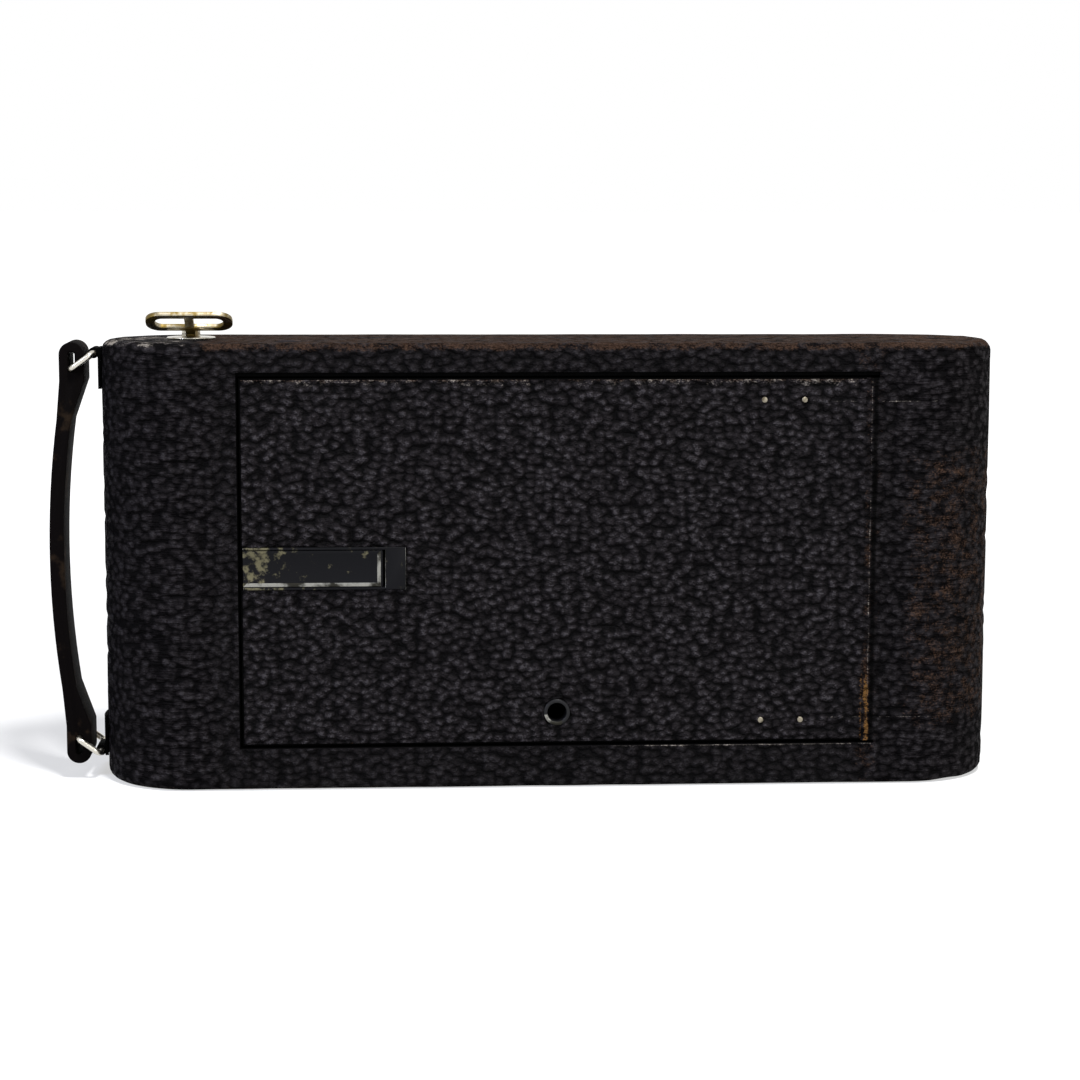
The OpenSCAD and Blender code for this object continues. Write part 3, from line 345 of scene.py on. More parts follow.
def polished_wood(name, light, dark, stretch, roughness):
    """Close-grained hardwood, stained and polished: long dark pores along the grain under a clear gloss."""
    material, shader, add = new_material(name)
    grain = add("noise", surface_mm(add, stretch), Scale=0.8, Detail=6.0, Roughness=0.65, Distortion=0.6)
    pores = add("step", grain, 0.35, 0.65)
    set_node(shader, Base_Color=add("mix", Factor=pores, A=dark, B=light),
             Roughness=add("step", grain, 0.3, 0.7, roughness + 0.12, roughness),
             Normal=add("bump", Height=grain, Strength=0.4, Distance=0.06 * MM))
    return material


def clear_glass(name, tone, ior, roughness, clear):
    """Polished glass: see-through, with bright reflections of the studio and a few specks of dust.

    Clear is the share of the light that it lets through.
    """
    material, shader, add = new_material(name)
    dust = patches(add, surface_mm(add), 2.2, 0.66, 0.72, 3.0)
    set_node(shader, Base_Color=tone, IOR=ior, Transmission_Weight=clear,
             Roughness=add("step", dust, 0.0, 1.0, roughness, roughness + 0.35))
    return material


# Meshes

def only(geometry, kind):
    """The elements of one kind in what an operator returned."""
    return [g for g in geometry if isinstance(g, kind)]


def unique(items):
    """Each item once, in the order in which they come."""
    return list(dict.fromkeys(items))


def run(bm, vert, step, count):
    """Extrudes a vertex a number of steps and returns the last one."""
    for _ in range(count):
        vert = bmesh.ops.extrude_vert_indiv(bm, verts=[vert])["verts"][0]
        bmesh.ops.translate(bm, verts=[vert], vec=step)
    return vert


def sweep(bm, edges, step, count):
    """Extrudes a chain of edges a number of steps and returns the last chain."""
    for _ in range(count):
        made = bmesh.ops.extrude_edge_only(bm, edges=edges)["geom"]
        bmesh.ops.translate(bm, verts=only(made, BMVert), vec=step)
        edges = only(made, BMEdge)
    return edges


def spin(bm, geometry, centre, axis, angle, steps):
    """Extrudes vertices and edges round an axis and returns the last ones."""
    made = bmesh.ops.spin(bm, geom=geometry, cent=centre, axis=axis, angle=angle, steps=steps,
                          use_merge=False)
    return made["geom_last"]


def slice_faces(bm, place, axis, test):
    """Cuts the faces that pass a test along a plane across one axis."""
    faces = [f for f in bm.faces if test(f.calc_center_median())]
    geometry = unique(e for f in faces for e in f.edges) + unique(v for f in faces for v in f.verts) + faces
    co, no = Vector((0, 0, 0)), Vector((0, 0, 0))
    co[axis], no[axis] = place, 1
    bmesh.ops.bisect_plane(bm, geom=geometry, dist=1e-4, plane_co=co, plane_no=no)


def remove_faces(bm, test):
    """Deletes the faces whose middle passes a test."""
    bmesh.ops.delete(bm, geom=[f for f in bm.faces if test(f.calc_center_median())], context="FACES")


def cut_window(bm, low, high, axis, near):
    """Opens a rectangular window between two corners, in the faces that lie near a plane across one axis."""
    others = [i for i in (X, Y, Z) if i != axis]
    margin = 6

    def close(p):
        return near(p) and all(low[i] - margin < p[i] < high[i] + margin for i in others)

    for i in others:
        for place in (low[i], high[i]):
            slice_faces(bm, place, i, close)
    remove_faces(bm, lambda p: near(p) and all(low[i] < p[i] < high[i] for i in others))


def round_hole(bm, centre, axis, radius, reach, near):
    """Opens a round hole in a flat field of faces: a square window, then a ring bridged into it."""
    centre = Vector(centre)
    arm = Vector((reach, reach, reach))
    cut_window(bm, centre - arm, centre + arm, axis, near)
    others = [i for i in (X, Y, Z) if i != axis]
    slack = 0.01

    def on_border(p):
        return near(p) and all(abs(p[i] - centre[i]) < reach + slack for i in others)

    border = [e for e in bm.edges if e.is_boundary and all(on_border(v.co) for v in e.verts)]
    made = bmesh.ops.extrude_edge_only(bm, edges=border)["geom"]
    for v in only(made, BMVert):
        arm = v.co - centre
        arm[axis] = 0
        v.co += arm.normalized() * radius - arm


def add_object(name, data):
    """New object in the scene, made of its data."""
    made = bpy.data.objects.new(name, data)
    bpy.context.scene.collection.objects.link(made)
    return made


def finish_piece(name, bm, materials, body, nodes=(), blend=None, modifiers=(), sharp=35):
    """Makes a bmesh in millimetres a piece in metres that rides on its body, or stays in place when a blend
    is given, and stands for its nodes.
    """
    bmesh.ops.scale(bm, verts=bm.verts, vec=(MM, MM, MM))
    mesh = bpy.data.meshes.new(name)
    bm.to_mesh(mesh)
    bm.free()
    piece = add_object(name, mesh)
    for material in materials:
        mesh.materials.append(material)
    for kind, settings in modifiers:
        modifier = piece.modifiers.new(kind.title(), kind)
        for key, value in settings.items():
            setattr(modifier, key, value)
    if modifiers:
        view = bpy.context.evaluated_depsgraph_get()
        mesh = bpy.data.meshes.new_from_object(piece.evaluated_get(view))
        piece.modifiers.clear()
        piece.data = mesh
    mesh.shade_smooth()
    mesh.set_sharp_from_angle(angle=math.radians(sharp))
    if blend:
        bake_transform(piece)
    else:
        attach(piece, body)
    if nodes:
        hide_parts(*nodes)


def step_between(value, start, full):
    """Smooth step from 0 at start to 1 at full, either way round."""
    t = min(max((value - start) / (full - start), 0), 1)
    return t * t * (3 - 2 * t)


def patchy(place):
    """Slow noise from 0 to 1 at a place."""
    return 0.5 + 0.5 * noise.noise(Vector(place))


def paint(bm, **fields):
    """Stores each field's value at every vertex as an attribute."""
    for name, field in fields.items():
        layer = bm.verts.layers.float.new(name)
        for v in bm.verts:
            v[layer] = field(v.co)


def finish_covering(name, bm, leather, body, node, hide, **fields):
    """Paints the wear and the painted highlights of an outer face of leather and makes it a piece with a wall
    and turned edges.
    """
    paint(bm, **fields)
    wall = {"thickness": hide, "offset": -1, "use_even_offset": True, "material_offset_rim": 1}
    edges = {"width": 0.4 * MM, "segments": 3, "material": 0, "limit_method": "ANGLE",
             "angle_limit": math.radians(60)}
    finish_piece(name, bm, [leather, finishes["cut_leather"]], body, [node],
                 modifiers=(("SOLIDIFY", wall), ("BEVEL", edges)))


def covering_form(step):
    """Outer face of the covering: a straight middle between two round ends, with rounded long edges."""
    bm = bmesh.new()
    edge = 3.0
    # Axis, angle and steps of the turn round a long edge
    quarter = ((1, 0, 0), -math.pi / 2, 5)
    flat, upright = END_R - edge, TOP_Z - 2 * edge
    along, up = round(flat / step), round(upright / step)
    vert = bm.verts.new((END_X, 0, 0))
    vert = run(bm, vert, (0, -flat / along, 0), along)
    vert = only(spin(bm, [vert], (END_X, -flat, edge), *quarter), BMVert)[0]
    vert = run(bm, vert, (0, 0, upright / up), up)
    vert = only(spin(bm, [vert], (END_X, -flat, TOP_Z - edge), *quarter), BMVert)[0]
    run(bm, vert, (0, flat / along, 0), along)
    chain = bm.edges[:]
    count = round(2 * END_X / step)
    around = round(math.pi * END_R / step)
    for side in (-1, 1):
        chain = sweep(bm, chain, (side * 2 * END_X / count, 0, 0), count)
        verts = unique(v for e in chain for v in e.verts)
        chain = only(spin(bm, verts + chain, (side * END_X, 0, 0), (0, 0, 1), -math.pi, around), BMEdge)
    bmesh.ops.remove_doubles(bm, verts=bm.verts, dist=0.01)
    bmesh.ops.recalc_face_normals(bm, faces=bm.faces)
    return bm


def keep_side(bm, place, front):
    """Keeps the part of the form in front of a plane across the depth, or behind it."""
    everything = bm.verts[:] + bm.edges[:] + bm.faces[:]
    bmesh.ops.bisect_plane(bm, geom=everything, dist=1e-4, plane_co=(0, place, 0), plane_no=(0, 1, 0),
                           clear_outer=front, clear_inner=not front)


def upright_sheet(left, right, low, high, columns, rows):
    """Flat grid of faces in the plane of the front."""
    bm = bmesh.new()
    place = (Matrix.Translation(((left + right) / 2, FRONT_Y, (low + high) / 2))
             @ Matrix.Rotation(math.pi / 2, 4, "X")
             @ Matrix.Diagonal(((right - left) / 2, (high - low) / 2, 1, 1)))
    bmesh.ops.create_grid(bm, x_segments=columns, y_segments=rows, size=1, matrix=place)
    return bm


# Wear of the covering and painted highlights on it: places are in millimetres, and fields go from 0 to 1

def end_crease(p):
    """How far a place is on the round ends, where the covering has creased."""
    return step_between(abs(p.x), 84, 100)


def press_in(bm, edge_free):
    """Small unevenness of the covering, all of it pressed in, and none where the covering ends."""
    bm.normal_update()
    dent, dent_width, fold = 0.16, 13, 0.34
    for v in bm.verts:
        p = v.co
        across_folds = noise.noise(Vector((p.x * 0.05, p.y * 0.05, p.z * 0.33)))
        depth = dent * patchy(p / dent_width) + fold * end_crease(p) * step_between(across_folds, 0.05, 0.45)
        v.co -= v.normal * depth * edge_free(p)


def end_scuff(p):
    """How far the top edge of the left end takes a pale painted highlight, a streak of reflected light."""
    amount = 0.3 + 0.35 * patchy((p.x / 5, p.y / 5, 7))
    top_edge = step_between(p.z, TOP_Z - 3, TOP_Z - 0.6)
    left_end = step_between(-p.x, 90, 98)
    return amount * top_edge * left_end


def on_line(p):
    """1 on the two lines that the hinge leaf has pressed through the covering."""
    half_width = 0.6
    return step_between(abs(abs(p.z - LENS_Z) - LINE_RISE), half_width, 0)


def cut_lines(bm, test):
    """Cuts the faces that pass a test along the two pressed lines, and close beside them."""
    beside = 0.7
    for place in (LENS_Z - LINE_RISE, LENS_Z + LINE_RISE):
        for off in (-beside, 0, beside):
            slice_faces(bm, place + off, Z, test)


def cover_wear(p):
    """How far the dye is rubbed off: most along the top edge and at the right end."""
    ragged = patchy((p.x / 9, p.y / 4, 2))
    top = (0.36 + 0.22 * ragged) * step_between(p.z, TOP_Z - 3.8, TOP_Z - 1.0) * step_between(p.x, -102, -90)
    foot = 0.3 * step_between(p.z, 3.5, 0.8)
    right = (0.27 + 0.22 * ragged) * step_between(p.x + 5 * ragged, 84, 104)
    right = right * step_between(p.z, 4, 20) * step_between(p.z, 100, 86)
    left = 0.2 * step_between(p.x, -112, -120)
    return max(top, foot, right, left)


class BodyCovering(bpy.types.Operator):
    """Makes the pebbled covering of the body, the back and the door, and the strip over the hinge"""
    bl_idname = "pocket_camera.covering"
    bl_label = "Covering"

    def execute(self, context):
        settings = context.scene.camera_leather
        leather = pebbled_leather("pebbled_cowhide", settings, shade=0.72)
        door_leather = pebbled_leather("pebbled_cowhide_door", settings)
        step = settings.mesh_step / MM
        self.body(settings, leather, step)
        self.back(settings, leather, step)
        self.door(settings, door_leather, step)
        self.hinge(leather)
        return {"FINISHED"}

    def body(self, settings, leather, step):
        """Covering of the front body, open at the door, key, button and tripod bush."""
        bm = covering_form(step)
        keep_side(bm, BODY_HIGH.y, True)
        # The gap round the door is wider at the hinge and along the top
        gap, wide_gap = 0.8, 1.6
        low = Vector((DOOR_LOW.x - gap, 0, DOOR_LOW.z - gap))
        high = Vector((HINGE_X + wide_gap, 0, DOOR_HIGH.z + wide_gap))
        cut_window(bm, low, high, Y, lambda p: p.y < FRONT_Y + 0.1)

        def on_top(p):
            return p.z > TOP_Z - 0.1

        button, bush, key_hole = middle("release_button"), middle("body_socket"), 3
        round_hole(bm, (button.x, button.y, TOP_Z), Z, radius=3.6, reach=5, near=on_top)
        round_hole(bm, (bush.x, bush.y, 0), Z, radius=4.55, reach=6, near=lambda p: p.z < 0.1)
        remove_faces(bm, lambda p: on_top(p) and math.hypot(p.x + END_X, p.y) < key_hole)
        line_end, line_depth, front_part = 104.5, 0.3, -10
        cut_lines(bm, lambda p: HINGE_X < p.x < line_end + 2 and p.y < front_part)

        def edge_free(p):
            """1 away from the seam with the back and from the door's opening."""
            seam = step_between(p.y, BODY_HIGH.y, BODY_HIGH.y - 3)
            if p.y > FRONT_Y + 1:
                return seam
            outside = max(low.x - p.x, p.x - high.x, low.z - p.z, p.z - high.z)
            return seam * step_between(outside, 0, 3)

        press_in(bm, edge_free)
        for v in bm.verts:
            if HINGE_X < v.co.x < line_end and v.co.y < front_part:
                v.co.y += line_depth * on_line(v.co)

        def wear(p):
            near_seam = 0.35 * step_between(p.y, BODY_HIGH.y - 1.5, BODY_HIGH.y)
            beside_hinge = 0.34 * step_between(p.x, 90, 86) * (p.y < FRONT_Y + 1) * (p.x > 80)
            return max(cover_wear(p), near_seam, beside_hinge)

        def scuff(p):
            if p.y > FRONT_Y + 1:
                return end_scuff(p)
            # Painted highlight: a pale line along the covering's lip under the door, lit from above; the
            # pressed lines are pale too
            lip_highlight_below_door = step_between(abs(p.z - low.z), 1, 0) * (p.x < high.x)
            pressed = on_line(p) * (HINGE_X < p.x < line_end)
            return max(0.6 * step_between(p.x, -20, 30) * lip_highlight_below_door, 0.54 * pressed)

        finish_covering("body_covering", bm, leather, "root", "body_leather", settings.hide,
                        wear=wear, crease=end_crease, scuff=scuff)

    def back(self, settings, leather, step):
        """Covering of the lift-off back, open at its ruby window."""
        bm = covering_form(step)
        seam = span("back_leather")[0].y
        keep_side(bm, seam, False)
        ring = middle("window_ring")
        round_hole(bm, (ring.x, END_R, ring.z), Y, radius=7, reach=9, near=lambda p: p.y > END_R - 0.1)
        press_in(bm, lambda p: step_between(p.y, seam, seam + 3))

        def wear(p):
            return max(cover_wear(p), 0.35 * step_between(p.y, seam + 1.5, seam))

        def scuff(p):
            # Painted highlight: a pale line along the back's top edge
            top_edge = step_between(p.z, TOP_Z - 0.8, TOP_Z)
            return 0.65 * top_edge * step_between(p.y, END_R - 6, END_R - 3)

        finish_covering("back_covering", bm, leather, "back", "back_leather", settings.hide,
                        wear=wear, crease=end_crease, scuff=scuff)

    def door(self, settings, leather, step):
        """Covering of the door, open at the folding foot and the tripod bush."""
        inset, sunk, knuckle_room, beside_hinge = 0.4, 0.35, 1.1, HINGE_X - 5
        left, right, low, high = DOOR_LOW.x + inset, DOOR_HIGH.x, DOOR_LOW.z + inset, DOOR_HIGH.z - inset
        bm = upright_sheet(left, right, low, high, round((right - left) / step), round((high - low) / step))
        foot_low, foot_high = span("foot_frame")
        cut_window(bm, Vector((DOOR_LOW.x - 1, 0, foot_low.z)), foot_high, Y, lambda p: True)
        bush = middle("bed_socket")
        round_hole(bm, (bush.x, FRONT_Y, bush.z), Y, radius=3.6, reach=5, near=lambda p: True)
        knuckles = span("door_hinge_leaf")
        for corner in knuckles:
            slice_faces(bm, corner.z, Z, lambda p: p.x > beside_hinge)
        room = HINGE_X - knuckle_room
        slice_faces(bm, room, X, lambda p: p.x > beside_hinge)
        remove_faces(bm, lambda p: p.x > room and knuckles[0].z < p.z < knuckles[1].z)
        cut_lines(bm, lambda p: p.x > DOOR_HIGH.x - 16)

        def from_edge(p):
            """How far a place is inside the door's edges."""
            return min(p.x - DOOR_LOW.x, DOOR_HIGH.x - p.x, p.z - DOOR_LOW.z, DOOR_HIGH.z - p.z)

        dent, dent_width = 0.14, 15
        for v in bm.verts:
            p = v.co
            v.co.y += dent * patchy(p / dent_width) * step_between(from_edge(p), 0, 4)
            v.co.y += sunk * step_between(DOOR_HIGH.x - p.x, 1.5, 4)

        def wear(p):
            top = 0.42 * step_between(DOOR_HIGH.z - p.z, 3.5, 0.5)
            rim = 0.3 * step_between(from_edge(p), 1.6, 0.2)
            hinge = 0.42 * step_between(DOOR_HIGH.x - p.x, 4.5, 1.5) * step_between(p.z, 60, 22)
            return max(top, rim, hinge)

        def fray(p):
            return 0.62 * step_between(DOOR_HIGH.x - p.x, 3.2, 1.0) * step_between(p.z, 46, 26)

        def scuff(p):
            top = 0.46 * step_between(DOOR_HIGH.z - p.z, 3.4, 1.6)
            corner = 0.3 * step_between(p.x - DOOR_LOW.x, 6, 1) * step_between(DOOR_HIGH.z - p.z, 12, 4)
            pressed = 0.52 * on_line(p) * step_between(DOOR_HIGH.x - p.x, 14, 10)
            return max(top, corner, pressed)

        finish_covering("door_covering", bm, leather, "bed", "door_leather", settings.hide - sunk * MM,
                        wear=wear, fray=fray, scuff=scuff)

    def hinge(self, leather):
        """Strip of covering that runs over the hinge from the body to the door."""
        left, right = HINGE_X - 1.9, HINGE_X + 2.3
        bm = upright_sheet(left, right, DOOR_LOW.z, DOOR_HIGH.z, columns=14, rows=110)

        def crease_x(p):
            """Where the strip has creased, wavering along the hinge."""
            return HINGE_X + 0.6 + 0.35 * noise.noise(Vector((0, 0, p.z / 9)))

        least, swell = 0.05, 0.05
        for v in bm.verts:
            p = v.co
            t = (p.x - left) / (right - left)
            rise = 0.06 * max(math.sin(math.pi * t), 0) ** 0.6
            rise -= 0.05 * math.exp(-((p.x - crease_x(p)) / 0.4) ** 2)
            rise += 0.02 * noise.noise(p / 1.7)
            v.co.y -= min(max(rise, 0), swell) + least

        def fray(p):
            ragged, spot_z = patchy((3, p.x / 2, p.z / 3.5)), 62
            line = step_between(abs(p.x - HINGE_X + 0.7), 0.8 + 1.5 * ragged, 0.2)
            low_part = step_between(p.z, 44, 24)
            spot = step_between(abs(p.z - spot_z), 5, 2) * 0.7
            return 0.74 * line * max(low_part, spot, 0.2) * (0.5 + 0.7 * ragged)

        # Painted shade: black along the strip's crease, where the hinge's gap is in shadow
        def grime(p):
            return 0.9 * step_between(abs(p.x - crease_x(p)), 1.0, 0.3)

        # Painted highlight: a pale line beside the crease, for the light on its lip
        def scuff(p):
            return 0.5 * step_between(abs(p.x - crease_x(p) + 1.0), 0.5, 0.1)

        paint(bm, wear=lambda p: 0.3 + 0.3 * fray(p), fray=fray, grime=grime, scuff=scuff)
        start, end = (Vector((HINGE_X + off, FRONT_Y, LENS_Z)) * MM for off in (1.3, -1.3))
        finish_piece("hinge_strip", bm, [leather], None, blend=("root", "bed", start, end),
                     modifiers=(("SOLIDIFY", {"thickness": 0.12 * MM, "offset": -1}),), sharp=60)


def eased_copy(node, width):
    """Copy of a CAD node with its flat faces made whole and its edges rounded, and the rounded faces."""
    flat_within, sharp_from, to_mm = math.radians(0.6), math.radians(34), 1 / MM
    bm = bmesh.new()
    bm.from_mesh(frame["nodes"][node].data)
    bmesh.ops.scale(bm, verts=bm.verts, vec=(to_mm, to_mm, to_mm))
    bmesh.ops.remove_doubles(bm, verts=bm.verts, dist=0.002)
    bmesh.ops.dissolve_limit(bm, angle_limit=flat_within, verts=bm.verts, edges=bm.edges,
                             use_dissolve_boundaries=False)
    bmesh.ops.recalc_face_normals(bm, faces=bm.faces)
    sharp = [e for e in bm.edges if len(e.link_faces) == 2 and e.calc_face_angle() > sharp_from]
    made = bmesh.ops.bevel(bm, geom=sharp, offset=width, offset_type="OFFSET", segments=2, profile=0.5,
                           affect="EDGES", clamp_overlap=True, material=-1)
    return bm, made["faces"]


def sunk_panel(bm):
    """Sinks the foot's face inside a sloped rim and returns the slopes that face up or left, which take bare
    rubbed metal; on the slope facing up it is also a painted highlight from the light above.
    """
    front = span("bed_foot")[0].y
    face = [f for f in bm.faces if f.normal.y < -0.99 and f.calc_center_median().y < front + 0.05]
    slopes = bmesh.ops.inset_region(bm, faces=face, thickness=0.9, depth=-0.4, use_even_offset=True)["faces"]
    bm.normal_update()
    # The slope facing up is picked because it faces the light: its bare metal is partly painted highlight
    return [f for f in slopes if f.normal.z > 0.2 or f.normal.x < -0.2]


def rubbed_and_lit_rim(bm):
    """Cuts out and returns the low left part of the tripod bush's rim, which takes bare rubbed metal: partly
    wear, partly a painted highlight for the crescent of light from above.
    """
    bush = middle("bed_socket")
    top, right = bush.z - 0.6, bush.x + 1.4
    slice_faces(bm, top, Z, lambda p: True)
    slice_faces(bm, right, X, lambda p: True)
    bm.normal_update()
    middles = {f: f.calc_center_median() for f in bm.faces if f.normal.y < -0.4}
    # Painted highlight: the low part of the rim, which faces the light from above, takes the bare metal
    return [f for f, p in middles.items() if p.z < top and p.x < right]


class Fittings(bpy.types.Operator):
    """Makes the metal, wood and enamel fittings with eased edges from the frame's solids"""
    bl_idname = "pocket_camera.fittings"
    bl_label = "Fittings"

    def execute(self, context):
        record = frame["record"]
        body_of = {n: b for b, names in record["behaviour"]["bodies"].items() for n in names}
        easing = context.scene.camera_metal.easing / MM
        for node, finish, ease in FITTINGS:
            bm, rounded = eased_copy(node, easing * ease)
            if node in RUBBED_AND_LIT_PARTS:
                rounded = RUBBED_AND_LIT_PARTS[node](bm)
            materials = [finishes[finish]]
            if finish in RUBBED:
                materials.append(finishes["rubbed_edge"])
                for face in rounded:
                    sideways = abs(face.normal.x) > 0.3
                    face.material_index = int(sideways or node in RUBBED_AND_LIT_PARTS)
            finish_piece(node + "_eased", bm, materials, body_of[node], [node])
        return {"FINISHED"}


# Node, finish and easing as a share of the setting
FITTINGS = [
    ("key_bow", "aged_nickel", 1.6), ("key_shaft", "nickel", 1.0), ("key_bush", "nickel", 1.2),
    ("strap_lugs", "matt_enamel", 0.8), ("bed_foot", "foot_enamel", 1.0), ("foot_frame", "foot_enamel", 0.8),
    ("back_catch_left", "nickel", 1.2), ("back_catch_right", "nickel", 1.2), ("door_catch", "nickel", 0.8),
    ("strut_upper", "nickel", 1.0), ("strut_lower", "nickel", 1.0), ("strut_brackets", "nickel", 0.8),
    ("leg_frame", "nickel", 1.0), ("leg_carriage", "nickel", 1.0), ("bed_rails", "nickel", 1.2),
    ("standard_frame", "nickel", 1.4), ("speed_dial", "nickel", 0.8), ("aperture_lever", "nickel", 0.7),
    ("release_lever", "nickel", 0.7), ("lens_barrel", "brass", 1.0), ("shutter_case", "shutter_enamel", 1.6),
    ("shutter_face", "shutter_enamel", 1.0), ("window_ring", "shutter_enamel", 1.0),
    ("finder_body", "enamel", 1.2), ("door_panel", "matt_enamel", 0.7), ("film_gate", "enamel", 0.8),
    ("lens_board", "mahogany", 1.6), ("takeup_spool", "spool_wood", 1.2), ("door_rivets", "old_brass", 0.5),
    ("body_socket", "brass", 0.8), ("bed_socket", "bush_enamel", 1.0), ("rear_cell", "brass", 0.8),
    ("strap", "strap_leather", 3.0), ("release_button", "button_leather", 1.6),
]
# Finishes rubbed bright on edges that face left or right, and nodes with a worn part instead, whose bare
# metal is partly painted highlight on the faces towards the light
RUBBED = ("foot_enamel", "bush_enamel")
RUBBED_AND_LIT_PARTS = {"bed_foot": sunk_panel, "bed_socket": rubbed_and_lit_rim}

# Finishes of the CAD nodes that keep their mesh
KEPT = {
    "steel": ("body_hinge_leaf", "door_hinge_leaf", "hinge_pin", "spool_pins", "button_spring",
              "guide_roller_left", "guide_roller_right"),
    # The dull black enamel is darker than the enamel: partly its colour, partly painted shade where it shows
    # in the gap round the door
    "matt_enamel": ("body_shell", "inner_frame"), "enamel": ("back_cover",),
    "shutter_enamel": ("iris_leaves", "shutter_blades"), "nickel": ("ring_top", "ring_bottom"),
    "glass": ("finder_glass", "finder_lens"), "ruby": ("red_window",), "silvered": ("finder_mirror",),
    "scale": ("focus_scale",),
}
finishes = {}


class Finishes(bpy.types.Operator):
    """Makes the procedural finishes and gives them to the nodes of the frame"""
    bl_idname = "pocket_camera.finishes"
    bl_label = "Finishes"

    def execute(self, context):
        scene = context.scene
        leather, metal, glass = scene.camera_leather, scene.camera_metal, scene.camera_glass
        # Each row: the finish, the material's name, then what its maker asks for
        rows = {
            worn_metal: (  # Colour, tarnish, roughness, cover
                ("nickel", "nickel_plate_worn", metal.nickel, "#8f7d58", 0.24, 0.62),
                ("aged_nickel", "nickel_worn_to_brass", "#a39c8a", "#6a5a30", 0.3, 0.5),
                ("brass", "lacquered_brass", metal.brass, "#6b5230", 0.3, 0.62),
                ("old_brass", "darkened_brass", "#8a8374", "#4a4334", 0.45, 0.55),
                ("steel", "bright_steel", metal.steel, "#77706a", 0.3, 0.62),
                ("rubbed_edge", "rubbed_nickel_edge", "#8a8983", "#2c2b26", 0.4, 0.5),
                ("silvered", "silvered_glass", "#dfe3e4", "#a9a9a4", 0.06, 0.75),
                ("scale", "silvered_scale", "#cfc9b4", "#8c8468", 0.4, 0.6)),
            baked_enamel: (  # Colour, bare metal, roughness, cover, specular level, where it is rubbed
                ("enamel", "baked_black_enamel", metal.enamel, metal.brass, 0.38, 0.7, 0.35),
                # Near-black and almost without gloss, so the shell and door panel read as the shade in the
                # gap round the door: partly black enamel, partly painted shade
                ("matt_enamel", "dull_black_enamel", "#020202", metal.brass, 0.7, 0.88, 0.02),
                ("foot_enamel", "foot_enamel_worn", metal.enamel, "#5f5b48", 0.45, 0.66, 0.06, (-66, -80)),
                ("shutter_enamel", "gloss_black_enamel", metal.enamel, metal.brass, 0.2, 0.78, 0.35),
                ("bush_enamel", "blackened_brass", metal.enamel, metal.brass, 0.35, 0.8, 0.2)),
            smooth_leather: (  # Colour, worn colour, scale of the grain, roughness
                ("strap_leather", "strap_cowhide", leather.strap, "#221a13", 0.8, 0.7),
                ("button_leather", "button_hide", leather.black, leather.worn, 0.8, 0.85),
                # The cut edges take the valleys' near-black without gloss: partly their own dark colour,
                # partly painted shade in the gaps round the door
                ("cut_leather", "cut_hide_edge", leather.valley_and_gap_shade, leather.valley_and_gap_shade, 1.0, 0.9),
                ("thread", "waxed_thread", leather.thread, leather.worn, 2.0, 0.6),
                ("goatskin", "bellows_goatskin", leather.bellows, "#3a1410", 1.0, 0.55)),
            polished_wood: (  # Light and dark colour, stretch of the grain, roughness
                ("mahogany", "polished_mahogany", "#4a2015", "#1c0b08", (0.15, 1, 1.2), 0.18),
                ("spool_wood", "stained_spool_wood", "#8a5a30", "#4a2c16", (1, 1, 0.12), 0.4)),
            clear_glass: (  # Colour, index of refraction, roughness, share of light let through
                ("glass", "lens_glass", glass.lens, 1.52, 0.02, 1.0),
                ("ruby", "ruby_celluloid", glass.ruby, 1.5, 0.12, 0.4)),
        }
        for make, looks in rows.items():
            for finish, *look in looks:
                finishes[finish] = make(*look)
        for finish, nodes in KEPT.items():
            for node in nodes:
                mesh = frame["nodes"][node].data
                mesh.materials.clear()
                mesh.materials.append(finishes[finish])
        return {"FINISHED"}


class Bellows(bpy.types.Operator):
    """Makes the pleated bellows between the lens board and the film gate"""
    bl_idname = "pocket_camera.bellows"
    bl_label = "Bellows"

    def execute(self, context):
        depth = context.scene.camera_leather.pleat / MM
        low, high = span("bellows")
        pleats, corner = 15, 5.0
        # Half width and half height at the lens board and at the film gate
        front = Vector((31.0, 29.5))
        rear = Vector(((high.x - low.x) / 2, (high.z - low.z) / 2))
        bm = bmesh.new()
        rim = bmesh.ops.create_grid(bm, x_segments=1, y_segments=1, size=1,
                                    matrix=Matrix.Rotation(math.pi / 2, 4, "X"))["verts"]
        bmesh.ops.delete(bm, geom=bm.faces[:], context="FACES_ONLY")
        bmesh.ops.bevel(bm, geom=rim, offset=0.2, offset_type="OFFSET", segments=1, profile=0.5,
                        affect="VERTICES", material=-1)
        chain = bm.edges[:]
        count = 2 * pleats
        last = Vector((1, 1))
        for i in range(count + 1):
            share = i / count
            # The pleats stand along the depth at the inverse of a smooth step
            t = 0.5 - math.sin(math.asin(1 - 2 * share) / 3)
            half = front.lerp(rear, share)
            cut = corner
            if i % 2:
                half = half - Vector((depth, depth))
                cut = corner * 0.5
            for v in unique(v for e in chain for v in e.verts):
                wide = abs(v.co.x) / last.x > abs(v.co.z) / last.y
                v.co = (math.copysign(half.x - (0 if wide else cut), v.co.x), low.y + (high.y - low.y) * t,
                        math.copysign(half.y - (cut if wide else 0), v.co.z))
            last = half
            if i < count:
                made = bmesh.ops.extrude_edge_only(bm, edges=chain)["geom"]
                chain = only(made, BMEdge)
        bmesh.ops.translate(bm, verts=bm.verts, vec=(0, 0, LENS_Z))
        bmesh.ops.recalc_face_normals(bm, faces=bm.faces)
        start, end = (Vector((0, y, LENS_Z)) * MM for y in (low.y, high.y))
        finish_piece("bellows_skin", bm, [finishes["goatskin"]], None, ["bellows"],
                     blend=("standard", "root", start, end), sharp=20)
        return {"FINISHED"}


